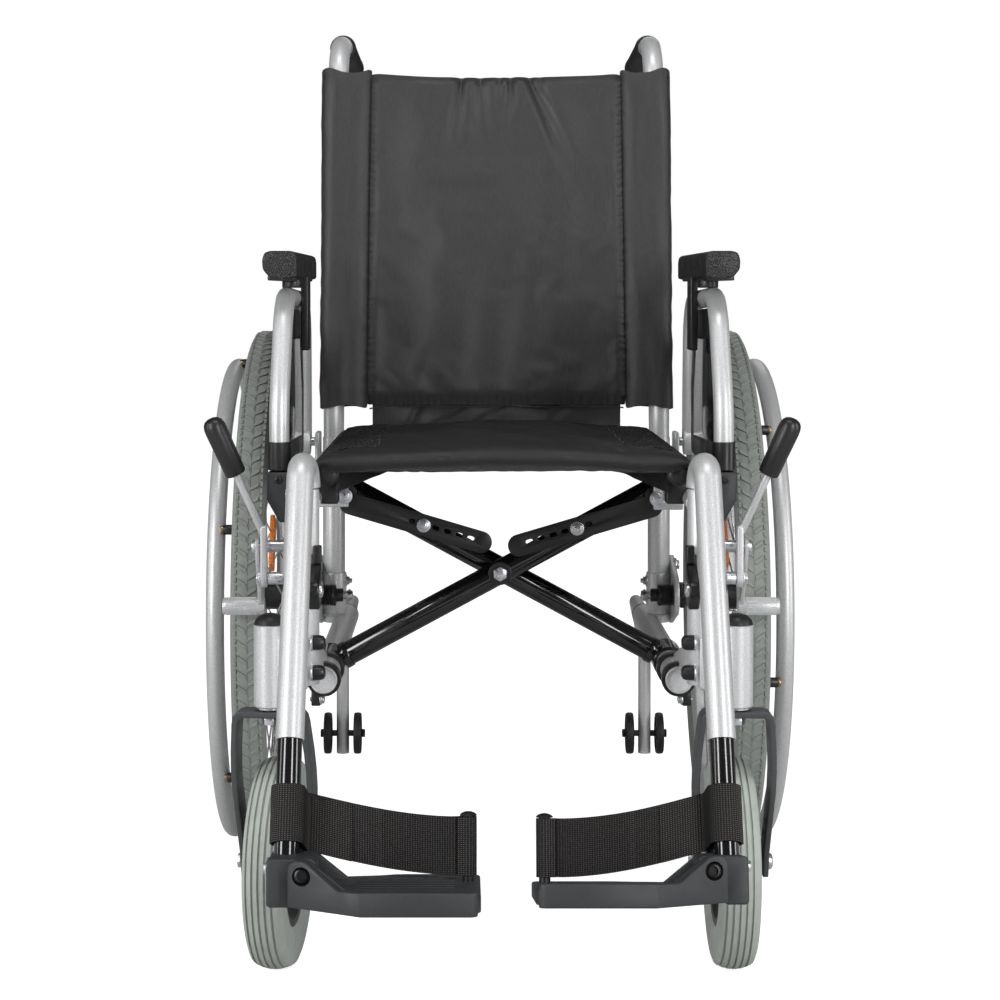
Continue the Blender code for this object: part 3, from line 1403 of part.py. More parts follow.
def side_assembly(side, frame_axis):
    """One side of the chair, all of which rides on that side's frame."""
    side_frame(side, frame_axis)
    back_cane(side, frame_axis)
    push_grip(side, frame_axis)
    axle_plate(side, frame_axis)
    wheel_axle(side, frame_axis)
    caster_housing(side, frame_axis)
    armrest_socket(side, frame_axis)
    brake_bracket(side, frame_axis)

    wheel_axis = axis_empty(side_name("wheel_axis", side), wheel_centre(side), frame_axis)
    for make in (rear_tyre, rear_wheel, handrim):
        make(side, wheel_axis)

    pivot = (side * CASTER_X, CASTER_Y, 0)
    swivel = axis_empty(side_name("swivel_axis", side), pivot, frame_axis)
    caster_fork(side, swivel)
    caster_wheel(side, swivel)

    post_top = (side * POST_X, POST_Y, POST_TOP)
    swing = axis_empty(side_name("swing_axis", side), post_top, frame_axis)
    for make in (hanger, hanger_latch, footrest_tube):
        make(side, swing)
    flip = axis_empty(side_name("flip_axis", side), tilted(side).translation, swing)
    footplate_pin(side, flip)
    footplate(side, flip)
    heel_strap(side)

    arm_axis = axis_empty(side_name("arm_axis", side), arm_line(side)[-1], frame_axis)
    for make in (armrest_frame, armrest_panel, armrest_pad):
        make(side, arm_axis)
    brake_lever(side, frame_axis)
    brake_shoe(side, frame_axis)

    rail_end = (side * RAIL_X, RAIL_REAR_Y, RAIL_Z)
    tip_axis = axis_empty(side_name("tip_axis", side), rail_end, frame_axis)
    anti_tip_tube(side, tip_axis)
    anti_tip_wheels(side, tip_axis)


def main():
    start()
    fold_axis = axis_empty("fold_axis", (-RAIL_X, BRACE_Y, RAIL_Z))
    scissor_axis = axis_empty("scissor_axis", (0, BRACE_Y, BRACE_Z), fold_axis)
    left_axis = axis_empty("left_frame_axis", (RAIL_X, BRACE_Y, RAIL_Z), scissor_axis)
    cross_tube(-1, fold_axis)
    pivot_bolt(fold_axis)
    cross_tube(1, scissor_axis)
    for side in (-1, 1):
        frame_axis = left_axis if side > 0 else None
        side_assembly(side, frame_axis)
        link_arm(side, frame_axis)
    seat_sling()
    back_sling()


main()
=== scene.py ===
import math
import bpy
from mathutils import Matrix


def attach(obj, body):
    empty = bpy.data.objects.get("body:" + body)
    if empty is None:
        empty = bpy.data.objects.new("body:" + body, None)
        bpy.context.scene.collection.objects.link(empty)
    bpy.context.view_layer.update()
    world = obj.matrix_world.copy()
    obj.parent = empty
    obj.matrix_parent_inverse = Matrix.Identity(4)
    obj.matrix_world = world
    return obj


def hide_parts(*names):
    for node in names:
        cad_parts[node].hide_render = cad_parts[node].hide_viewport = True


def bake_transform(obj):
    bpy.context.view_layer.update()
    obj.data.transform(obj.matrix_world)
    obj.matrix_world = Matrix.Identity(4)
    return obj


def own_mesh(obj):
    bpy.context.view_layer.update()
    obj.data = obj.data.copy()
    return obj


bl_info = {
    "name": "Folding Wheelchair", "version": (1, 0, 0), "blender": (4, 5, 0),
    "location": "3D View > Sidebar > Wheelchair",
    "description": "Dresses the folding wheelchair's frame with its tubes, wheels, slings and fittings",
    "category": "Object"
}

import bpy
from mathutils import Matrix, Vector, noise

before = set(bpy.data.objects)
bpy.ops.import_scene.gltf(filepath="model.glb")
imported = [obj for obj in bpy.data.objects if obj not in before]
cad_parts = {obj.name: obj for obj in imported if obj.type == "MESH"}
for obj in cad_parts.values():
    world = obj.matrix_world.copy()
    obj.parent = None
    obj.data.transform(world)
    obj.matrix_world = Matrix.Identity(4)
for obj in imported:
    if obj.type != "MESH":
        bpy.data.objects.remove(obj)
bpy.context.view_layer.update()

SIDES = (("right", -1), ("left", 1))
AXLE = Vector((0.256, 0.1995, 0.3))
RAIL_X, RAIL_Z, RAIL_RADIUS, RAIL_FRONT_Y = 0.176, 0.26, 0.0135, -0.1405
POST_X, POST_Y = 0.184, -0.2555
UPRIGHT_X, UPRIGHT_Y = 0.187, 0.2395
BRACE_Y, BRACE_Z = -0.0205, 0.355
HINGE = Vector((0.173, -0.4505, 0.15))
TILT = {-1: math.radians(6), 1: math.radians(12)}
LINK_BOLT, LINK_REACH = 0.0855, 0.1478
BACK_UP = Vector((0, math.sin(math.radians(7)), math.cos(math.radians(7))))
BACK_FACE = Vector((0, -math.cos(math.radians(7)), math.sin(math.radians(7))))
BACK_SIZE = 0.388
BACK_GATHERS = (
    (-0.04, 0.026, -0.1, 1.0), (-0.019, 0.016, 0.08, 0.7), (0.004, 0.02, 0.0, 0.5),
    (0.017, 0.024, -0.05, 0.9), (0.037, 0.048, 0.42, 1.0), (0.049, 0.02, 0.3, 0.5)
)
SEAT_PROFILE = ((0.1783, 0.4748), (0.1786, 0.48), (0.1752, 0.4856), (0.168, 0.489), (0.158, 0.4907))
SEAT_REAR, SEAT_FRONT = 0.1865, -0.236
STRAP_WIDTH, STRAP_THICKNESS = 0.05, 0.0023
CAMERA_PLACE = (-0.035, -2.4205, 0.645)
CAMERA_PITCH = math.radians(1.6)
FLOOR_LIFT = 0.86
CAMERA_LENS = 83.34
CAMERA_SHIFT = (0.034, -0.1443)


class ChairSizes(bpy.types.PropertyGroup):
    """Sizes of the chair's trim that can be changed on their own."""

    spokes: bpy.props.IntProperty(
        name="Spokes", description="Spokes in each push wheel", default=36, min=12, max=48
    )
    tread_pitch: bpy.props.FloatProperty(
        name="Tread pitch",
        description="Distance between the tread's chevrons along the tyre",
        default=0.0155,
        subtype="DISTANCE",
    )
    grip_rings: bpy.props.IntProperty(
        name="Grip rings", description="Rings moulded round each push grip", default=14, min=4, max=30
    )
    wrinkle: bpy.props.FloatProperty(
        name="Wrinkle depth",
        description="Depth of the folds in the back's cloth",
        default=0.004,
        subtype="DISTANCE",
    )
    stitch: bpy.props.FloatProperty(
        name="Stitch pitch",
        description="Distance between stitches along a seam",
        default=0.006,
        subtype="DISTANCE",
    )


class ChairColours(bpy.types.PropertyGroup):
    """Colours of the chair's finishes."""

    silver: bpy.props.FloatVectorProperty(
        name="Silver paint",
        description="Metallic paint of the frame, rims and push rings",
        default=(0.62, 0.625, 0.632),
        subtype="COLOR",
        min=0,
        max=1,
    )
    tyre: bpy.props.FloatVectorProperty(
        name="Tyre",
        description="Grey rubber of the push wheels and casters",
        default=(0.245, 0.262, 0.243),
        subtype="COLOR",
        min=0,
        max=1,
    )
    nylon: bpy.props.FloatVectorProperty(
        name="Sling nylon",
        description="Woven nylon of the seat and back",
        default=(0.026, 0.026, 0.0275),
        subtype="COLOR",
        min=0,
        max=1,
    )
    floor: bpy.props.FloatVectorProperty(
        name="Floor",
        description="Pale studio floor",
        default=(0.66, 0.66, 0.66),
        subtype="COLOR",
        min=0,
        max=1,
    )


def select_only(item):
    """Makes one object the only selected one, and the active one."""
    for other in list(bpy.context.selected_objects):
        other.select_set(False)
    item.select_set(True)
    bpy.context.view_layer.objects.active = item


def edit(item):
    """Opens an object in edit mode with all of its mesh selected."""
    select_only(item)
    bpy.ops.object.mode_set(mode="EDIT")
    bpy.ops.mesh.select_all(action="SELECT")


def leave():
    """Goes back to object mode with the edited object active."""
    bpy.ops.object.mode_set(mode="OBJECT")
    return bpy.context.active_object


def fixed(item):
    """Bakes an object's place, turn and size into its mesh."""
    select_only(item)
    bpy.ops.object.transform_apply(location=True, rotation=True, scale=True)
    return item


def tidy(item):
    """Merges doubles and points every face outwards."""
    edit(item)
    bpy.ops.mesh.remove_doubles(threshold=0.00001)
    bpy.ops.mesh.select_all(action="SELECT")
    bpy.ops.mesh.normals_make_consistent(inside=False)
    return leave()


def modified(item, kind, **values):
    """Adds a modifier with its settings and applies it."""
    select_only(item)
    step = item.modifiers.new("step", kind)
    for key, value in values.items():
        setattr(step, key, value)
    bpy.ops.object.modifier_apply(modifier=step.name)
    return item


def softened(item, width, segments=2, angle=40):
    """Rounds an object's sharp edges."""
    if width:
        modified(
            item, "BEVEL", width=width, segments=segments, limit_method="ANGLE",
            angle_limit=math.radians(angle), use_clamp_overlap=True
        )
    return item


def block(low, high, edge=0.001, segments=2):
    """A block between two corners with rounded edges."""
    low, high = Vector(low), Vector(high)
    bpy.ops.mesh.primitive_cube_add(size=1, location=(low + high) / 2)
    item = bpy.context.active_object
    item.scale = [abs(a - b) for a, b in zip(low, high)]
    return softened(fixed(item), edge, segments)


def bar(first, last, radius, steps=24, edge=0.0006, end_radius=None):
    """A round bar or cone between two points with rounded rims."""
    first, last = Vector(first), Vector(last)
    along = last - first
    bpy.ops.mesh.primitive_cone_add(
        vertices=steps, radius1=radius, radius2=radius if end_radius is None else end_radius,
        depth=along.length, location=(first + last) / 2,
        rotation=Vector((0, 0, 1)).rotation_difference(along).to_euler()
    )
    return softened(fixed(bpy.context.active_object), edge, 2)


def drawn(points, closed=False):
    """A chain of points drawn by extruding one vertex, left in edit mode."""
    points = [Vector(point) for point in points]
    bpy.ops.mesh.primitive_plane_add(size=0.001, location=points[0])
    bpy.ops.object.mode_set(mode="EDIT")
    bpy.ops.mesh.select_mode(type="VERT")
    bpy.ops.mesh.merge(type="CENTER")
    for before, after in zip(points, points[1:]):
        bpy.ops.mesh.extrude_region_move(TRANSFORM_OT_translate={"value": after - before})
    bpy.ops.mesh.select_all(action="SELECT")
    if closed:
        bpy.ops.mesh.edge_face_add()
    return bpy.context.active_object


def turned(profile, centre, axis, steps=48):
    """A turned piece from (radius, offset) points along an axis."""
    axis = Vector(axis).normalized()
    across = axis.orthogonal().normalized()
    centre = Vector(centre)
    drawn([centre + across * radius + axis * offset for radius, offset in profile])
    bpy.ops.mesh.spin(steps=steps, angle=2 * math.pi, center=centre, axis=axis)
    return tidy(fixed(leave()))


def slab(outline, thickness, place, edge=0.0006, segments=2):
    """A plate from a closed outline in a plane, set by a matrix and thickened evenly."""
    place = place if isinstance(place, Matrix) else Matrix(place)
    lift = place.to_3x3() @ Vector((0, 0, 1))
    drawn([place @ Vector((u, v, -thickness / 2)) for u, v in outline], closed=True)
    bpy.ops.mesh.extrude_region_move(TRANSFORM_OT_translate={"value": lift * thickness})
    return softened(tidy(fixed(leave())), edge, segments)


def in_yz(x):
    """An outline given as Y and Z, at one X."""
    return Matrix(((0, 0, 1, x), (1, 0, 0, 0), (0, 1, 0, 0), (0, 0, 0, 1)))


def in_xz(y):
    """An outline given as X and Z, at one Y."""
    return Matrix(((1, 0, 0, 0), (0, 0, -1, y), (0, 1, 0, 0), (0, 0, 0, 1)))


def in_xy(z):
    """An outline given as X and Y, at one Z."""
    return Matrix.Translation((0, 0, z))


def arc(centre, radius, start, end, steps):
    """Points along an arc, in degrees."""
    points = []
    for step in range(steps + 1):
        angle = math.radians(start + (end - start) * step / steps)
        points.append((centre[0] + radius * math.cos(angle), centre[1] + radius * math.sin(angle)))
    return points


def bent(corners, radius, steps=10):
    """A tube's centreline: straight runs joined by arcs of one bend radius."""
    corners = [Vector(corner) for corner in corners]
    line = [corners[0]]
    for before, corner, after in zip(corners, corners[1:], corners[2:]):
        inward, outward = (before - corner).normalized(), (after - corner).normalized()
        half = inward.angle(outward) / 2
        centre = corner + (inward + outward).normalized() * radius / math.sin(half)
        first = corner + inward * radius / math.tan(half) - centre
        last = corner + outward * radius / math.tan(half) - centre
        turn = first.rotation_difference(last)
        for step in range(steps + 1):
            share = turn.copy()
            share.angle = turn.angle * step / steps
            line.append(centre + share @ first)
    return line + [corners[-1]]


def pipe(line, radius, resolution=5, closed=False, taper=None):
    """A round tube along a centreline."""
    bpy.ops.curve.primitive_bezier_curve_add()
    item = bpy.context.active_object
    curve = item.data
    curve.splines.clear()
    curve.dimensions = "3D"
    curve.bevel_depth = radius
    curve.bevel_resolution = resolution
    curve.use_fill_caps = not closed
    spline = curve.splines.new("POLY")
    spline.points.add(len(line) - 1)
    spline.use_cyclic_u = closed
    for index, (point, place) in enumerate(zip(spline.points, line)):
        point.co = (*place, 1)
        point.radius = 1 if taper is None else taper[index]
    select_only(item)
    bpy.ops.object.convert(target="MESH")
    return tidy(bpy.context.active_object)


def drilled(item, *cutters):
    """Cuts solids out of a piece and removes them."""
    for cutter in cutters:
        modified(item, "BOOLEAN", operation="DIFFERENCE", solver="EXACT", object=cutter)
        bpy.data.objects.remove(cutter, do_unlink=True)
    return item


def welded(item, *others):
    """Unites overlapping solids into one skin."""
    for other in others:
        modified(item, "BOOLEAN", operation="UNION", solver="EXACT", object=other)
        bpy.data.objects.remove(other, do_unlink=True)
    return item


def copied(item, matrix):
    """A copy with its own mesh, moved by a matrix."""
    select_only(item)
    bpy.ops.object.duplicate(linked=False)
    twin = bpy.context.active_object
    twin.data.transform(matrix)
    if matrix.determinant() < 0:
        twin.data.flip_normals()
    return twin


def repeated(item, matrices):
    """Copies of a piece at each place, joined with it left out."""
    copies = [copied(item, matrix) for matrix in matrices]
    bpy.data.objects.remove(item, do_unlink=True)
    return joined(copies)


def joined(items):
    """Several shapes as one object."""
    for other in list(bpy.context.selected_objects):
        other.select_set(False)
    for item in items:
        item.select_set(True)
    bpy.context.view_layer.objects.active = items[0]
    if len(items) > 1:
        bpy.ops.object.join()
    return bpy.context.active_object


def held(item, name, material, body, slot, *nodes, angle=35):
    """Names a finished piece, gives it its material, and hangs it on its body; given two bodies, it bakes
    its place and leaves it unparented.
    """
    if isinstance(item, list):
        item = joined(item)
    select_only(item)
    bpy.ops.object.shade_smooth_by_angle(angle=math.radians(angle))
    item.name = item.data.name = name
    item.data.materials.clear()
    item.data.materials.append(bpy.data.materials["chair_" + material])
    if isinstance(body, tuple):
        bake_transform(item)
    else:
        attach(item, body)
    if nodes:
        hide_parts(*nodes)
    return item


def spun(centre, axis, angle):
    """A turn about an axis through a point."""
    centre = Vector(centre)
    return Matrix.Translation(centre) @ Matrix.Rotation(angle, 4, Vector(axis)) @ Matrix.Translation(-centre)


def cap_screw(place, axis, radius, height, washer=0.0):
    """A domed screw head with a round socket, standing on a face."""
    profile = [
        (0.0001, height * 0.45), (radius * 0.5, height * 0.45), (radius * 0.55, height),
        (radius * 0.75, height * 0.95), (radius * 0.93, height * 0.75), (radius, height * 0.35),
        (radius, -0.0006), (0.0001, -0.0006)
    ]
    items = [turned(profile, place, axis, 24)]
    if washer:
        items.append(
            bar(
                Vector(place) - Vector(axis).normalized() * 0.0008,
                Vector(place) + Vector(axis).normalized() * 0.0012, washer, 28, 0.0003
            )
        )
    return joined(items)


def hex_head(place, axis, across, height, washer=0.0, thread=0.0):
    """A hexagon bolt head or nut on its washer, with a thread's end proud of it."""
    axis = Vector(axis).normalized()
    place = Vector(place)
    items = [bar(place - axis * 0.0005, place + axis * height, across / math.sqrt(3), 6, 0.0004)]
    if washer:
        items.append(bar(place - axis * 0.0008, place + axis * 0.0014, washer, 28, 0.0003))
    if thread:
        items.append(bar(place, place + axis * (height + thread), across * 0.3, 16, 0.0005))
    return joined(items)


class Finish:
    """One procedural material, built up node by node on Object coordinates."""

    def __init__(self, name, colour, roughness, metallic=0.0, **sockets):
        self.material = bpy.data.materials.new("chair_" + name)
        self.material.use_nodes = True
        self.nodes = self.material.node_tree.nodes
        self.links = self.material.node_tree.links
        self.shader = self.nodes["Principled BSDF"]
        self.shader.inputs["Base Color"].default_value = (*colour, 1)
        self.shader.inputs["Roughness"].default_value = roughness
        self.shader.inputs["Metallic"].default_value = metallic
        for key, value in sockets.items():
            self.shader.inputs[key.replace("_", " ")].default_value = value
        self.colour = colour
        self.where = self.add("ShaderNodeTexCoord").outputs["Object"]
        self.height = None

    def add(self, kind, **values):
        """A new node of one kind with its settings."""
        node = self.nodes.new(kind)
        for key, value in values.items():
            setattr(node, key, value)
        return node

    def on_surface(self):
        """Reads the piece's own UV map, for patterns that follow a strap or a cloth."""
        self.where = self.add("ShaderNodeUVMap", uv_map="cloth").outputs["UV"]
        return self

    def stretched(self, *scale):
        """Object coordinates, scaled apart along each axis."""
        mapping = self.add("ShaderNodeMapping")
        mapping.inputs["Scale"].default_value = scale
        self.links.new(self.where, mapping.inputs["Vector"])
        return mapping.outputs["Vector"]

    def grain(self, scale, detail=2.0, stretch=(1, 1, 1), roughness=0.5):
        """A noise pattern, from 0 to 1."""
        node = self.add("ShaderNodeTexNoise")
        node.inputs["Scale"].default_value = scale
        node.inputs["Detail"].default_value = detail
        node.inputs["Roughness"].default_value = roughness
        self.links.new(self.stretched(*stretch), node.inputs["Vector"])
        return node.outputs["Fac"]

    def cells(self, scale, stretch=(1, 1, 1), feature="DISTANCE_TO_EDGE"):
        """A cell pattern, as leather grain has."""
        node = self.add("ShaderNodeTexVoronoi", feature=feature)
        node.inputs["Scale"].default_value = scale
        self.links.new(self.stretched(*stretch), node.inputs["Vector"])
        return node.outputs["Distance"]

    def waves(self, pitch, direction="X", distortion=0.0):
        """Even ridges across one direction, by their pitch in metres."""
        node = self.add("ShaderNodeTexWave", wave_type="BANDS", bands_direction=direction)
        node.inputs["Scale"].default_value = math.pi / 10 / pitch
        node.inputs["Distortion"].default_value = distortion
        self.links.new(self.where, node.inputs["Vector"])
        return node.outputs["Fac"]

    def spread(self, source, low, high, low_at=0.35, high_at=0.65):
        """Spreads a pattern over a range of values."""
        node = self.add("ShaderNodeMapRange")
        for key, value in zip(("From Min", "From Max", "To Min", "To Max"), (low_at, high_at, low, high)):
            node.inputs[key].default_value = value
        self.links.new(source, node.inputs["Value"])
        return node.outputs["Result"]

    def joint(self, first, second, kind="MULTIPLY"):
        """Two patterns, or a pattern and a number, put together by one sum."""
        node = self.add("ShaderNodeMath", operation=kind)
        self.links.new(first, node.inputs[0])
        if isinstance(second, (int, float)):
            node.inputs[1].default_value = second
        else:
            self.links.new(second, node.inputs[1])
        return node.outputs["Value"]

    def tint(self, source, dark, light):
        """Shades the colour between two strengths by a pattern."""
        ramp = self.add("ShaderNodeMix", data_type="RGBA")
        ramp.inputs["A"].default_value = (*[c * dark for c in self.colour], 1)
        ramp.inputs["B"].default_value = (*[min(1, c * light) for c in self.colour], 1)
        self.links.new(source, ramp.inputs["Factor"])
        self.links.new(ramp.outputs["Result"], self.shader.inputs["Base Color"])
        return self

    def dirt(self, source, colour):
        """Lays a second colour over the first by a pattern."""
        mix = self.add("ShaderNodeMix", data_type="RGBA")
        taken = self.shader.inputs["Base Color"]
        if taken.links:
            self.links.new(taken.links[0].from_socket, mix.inputs["A"])
        else:
            mix.inputs["A"].default_value = (*self.colour, 1)
        mix.inputs["B"].default_value = (*colour, 1)
        self.links.new(source, mix.inputs["Factor"])
        self.links.new(mix.outputs["Result"], taken)
        return self

    def dull(self, source, low, high):
        """Varies the roughness by a pattern."""
        self.links.new(self.spread(source, low, high), self.shader.inputs["Roughness"])
        return self

    def bump(self, source, depth):
        """Raises the surface by a pattern, to a depth in metres."""
        node = self.add("ShaderNodeBump")
        node.inputs["Strength"].default_value = 1
        node.inputs["Distance"].default_value = depth
        self.links.new(source, node.inputs["Height"])
        if self.height is not None:
            self.links.new(self.height, node.inputs["Normal"])
        self.height = node.outputs["Normal"]
        self.links.new(self.height, self.shader.inputs["Normal"])
        return self


class ChairFinishes(bpy.types.Operator):
    """Mixes the chair's paints, rubbers, cloths and plated metals."""

    bl_idname = "chair.finishes"
    bl_label = "Finishes"

    def execute(self, context):
        colours = context.scene.chair_colours
        silver = Finish("silver_paint", colours.silver, 0.42, 0.45, Coat_Weight=0.1, Coat_Roughness=0.2)
        silver.tint(silver.spread(silver.grain(1100, 2), 0, 1), 0.86, 1.14)
        silver.dull(silver.grain(9, 3), 0.38, 0.46)
        silver.bump(silver.grain(900, 2), 0.00003)

        black = Finish("gloss_black", (0.004, 0.004, 0.005), 0.1, 0.0, Coat_Weight=0.6, Coat_Roughness=0.05)
        black.dull(black.grain(14, 4), 0.1, 0.18)
        black.bump(black.grain(260, 2), 0.00003)

        fork = Finish("fork_grey", (0.06, 0.062, 0.066), 0.46)
        fork.tint(fork.grain(400, 3), 0.85, 1.2)
        fork.dull(fork.grain(50, 3), 0.4, 0.54)
        fork.bump(fork.grain(1200, 2), 0.00006)

        steel = Finish("bright_steel", (0.62, 0.62, 0.62), 0.22, 1.0)
        steel.dull(steel.grain(120, 3), 0.16, 0.34)
        steel.tint(steel.grain(60, 2), 0.85, 1.1)

        zinc = Finish("zinc_plate", (0.66, 0.67, 0.7), 0.3, 0.9)
        zinc.dull(zinc.grain(300, 3), 0.24, 0.42)
        zinc.tint(zinc.grain(200, 3), 0.8, 1.1)

        plastic = Finish("black_plastic", (0.012, 0.012, 0.013), 0.42)
        plastic.dull(plastic.grain(40, 3), 0.36, 0.5)
        plastic.bump(plastic.grain(1600, 2), 0.00006)

        smooth = Finish("satin_black", (0.009, 0.009, 0.01), 0.34, Coat_Weight=0.1, Coat_Roughness=0.25)
        smooth.dull(smooth.grain(25, 3), 0.32, 0.44)
        smooth.bump(smooth.grain(900, 1), 0.00002)

        grey = Finish("grey_plastic", (0.026, 0.0275, 0.03), 0.5)
        grey.tint(grey.grain(500, 3), 0.85, 1.2)
        grey.dull(grey.grain(60, 3), 0.44, 0.58)
        grey.bump(grey.grain(1300, 3), 0.00012)

        # The one grey rubber is made twice: the push wheels' tyre copy is darker than the casters' copy
        # (1.05 against 1.75 times the rubber colour). The darker copy is painted shade for the shade the
        # rear tyres sit in behind the arms and push rings.
        for name, share in (("grey_tyre", 1.75), ("rear_tyre_shaded_grey", 1.05)):
            tyre = Finish(name, [c * share for c in colours.tyre], 0.68)
            tyre.tint(tyre.grain(70, 5), 0.88, 1.1)
            tyre.dirt(
                tyre.spread(tyre.grain(18, 6, roughness=0.7), 0, 0.35, 0.52, 0.75), (0.16, 0.165, 0.15)
            )
            tyre.dull(tyre.grain(90, 3), 0.6, 0.78)
            tyre.bump(tyre.grain(900, 3), 0.00008)

        rubber = Finish("black_rubber", (0.012, 0.012, 0.012), 0.55)
        rubber.dull(rubber.grain(50, 3), 0.48, 0.64)
        rubber.bump(rubber.grain(1200, 2), 0.00006)

        nylon = Finish(
            "sling_nylon", colours.nylon, 0.44, Sheen_Weight=0.04, Sheen_Roughness=0.4,
            Specular_IOR_Level=0.45
        )
        # Vertical thread streaks vary the colour between 0.88 and 1.22 times. They are partly the yarn's own
        # tone and partly painted sheen along the threads.
        thread = nylon.grain(1, 2, (1100, 1100, 26))
        nylon.tint(nylon.spread(thread, 0, 1), 0.88, 1.22)
        nylon.dull(nylon.grain(22, 3, (1, 1, 0.4)), 0.4, 0.56)
        nylon.bump(nylon.joint(nylon.waves(0.0007, "X"), nylon.waves(0.0007, "Z")), 0.00006)
        nylon.bump(thread, 0.00002)

        # The seat cloth is the sling nylon darkened to 0.62 of its colour. This is painted shade for the
        # seat's upward-facing top, which the front lamps light less than the back.
        seat = Finish("seat_nylon_shaded", [c * 0.62 for c in colours.nylon], 0.46, Specular_IOR_Level=0.35)
        seat.tint(seat.grain(1, 2, (60, 1100, 1100)), 0.85, 1.2)
        seat.dull(seat.grain(30, 3), 0.44, 0.62)
        seat.bump(seat.joint(seat.waves(0.0008, "X"), seat.waves(0.0008, "Y")), 0.00008)

        pile = Finish("loop_tape", (0.016, 0.015, 0.015), 0.95, Specular_IOR_Level=0.15)
        pile.tint(pile.spread(pile.grain(620, 4), 0, 1, 0.47, 0.66), 0.35, 5.5)
        pile.bump(pile.grain(700, 4), 0.0006)

        webbing = Finish("webbing", (0.024, 0.022, 0.021), 0.74, Specular_IOR_Level=0.25).on_surface()
        rib = webbing.waves(0.0023, "X")
        weft = webbing.waves(0.0017, "Y")
        weave_relief_and_painted_light = webbing.joint(rib, weft)
        # The weave's raised ribs are lightened and its hollows darkened by the same pattern that raises its
        # bump. The weave's pattern thus carries painted highlights on the ribs and painted shade in the
        # hollows.
        webbing.tint(webbing.spread(weave_relief_and_painted_light, 0, 1, 0.35, 0.85), 0.22, 5.2)
        webbing.dirt(webbing.spread(webbing.grain(900, 2), 0, 0.12), (0.07, 0.07, 0.07))
        webbing.bump(weave_relief_and_painted_light, 0.0005)

        vinyl = Finish("arm_pad_vinyl", (0.011, 0.011, 0.012), 0.36)
        vinyl.dull(vinyl.grain(60, 3), 0.3, 0.46)
        cells = vinyl.cells(520)
        vinyl.tint(vinyl.spread(cells, 0, 1, 0.0, 0.2), 0.8, 1.15)
        vinyl.bump(vinyl.spread(cells, 0, 1, 0.0, 0.18), 0.00022)
        vinyl.bump(vinyl.grain(260, 3), 0.00015)

        thread = Finish("thread", (0.02, 0.02, 0.021), 0.6)
        thread.tint(thread.grain(1500, 1), 0.7, 1.5)
        thread.bump(thread.grain(2500, 1), 0.0001)

        binding = Finish("hem_binding", (0.034, 0.034, 0.035), 0.5)
        binding.tint(binding.grain(900, 2), 0.6, 1.4)
        binding.bump(binding.grain(1800, 1), 0.0001)

        brown = Finish("brown_thread", (0.085, 0.066, 0.052), 0.7)
        brown.tint(brown.grain(700, 3), 0.4, 1.5)
        brown.bump(brown.grain(1800, 1), 0.0001)

        amber = Finish("amber_reflector", (0.95, 0.26, 0.03), 0.18, Transmission_Weight=0.25)
        amber.bump(amber.joint(amber.waves(0.002, "Y"), amber.waves(0.002, "Z")), 0.0004)

        brass = Finish("brass", (0.42, 0.28, 0.11), 0.36, 1.0)
        brass.dull(brass.grain(200, 3), 0.22, 0.38)

        hub = Finish("hub_grey", (0.02, 0.021, 0.023), 0.38)
        hub.dull(hub.grain(60, 3), 0.32, 0.46)
        hub.bump(hub.grain(1400, 2), 0.00006)
        return {"FINISHED"}


def ring_bead(place, axis, radius, thick):
    """A weld bead or rubber ring round a tube."""
    bpy.ops.mesh.primitive_torus_add(
        major_radius=radius, minor_radius=thick, major_segments=36, minor_segments=10, location=place,
        rotation=Vector((0, 0, 1)).rotation_difference(Vector(axis)).to_euler()
    )
    return fixed(bpy.context.active_object)


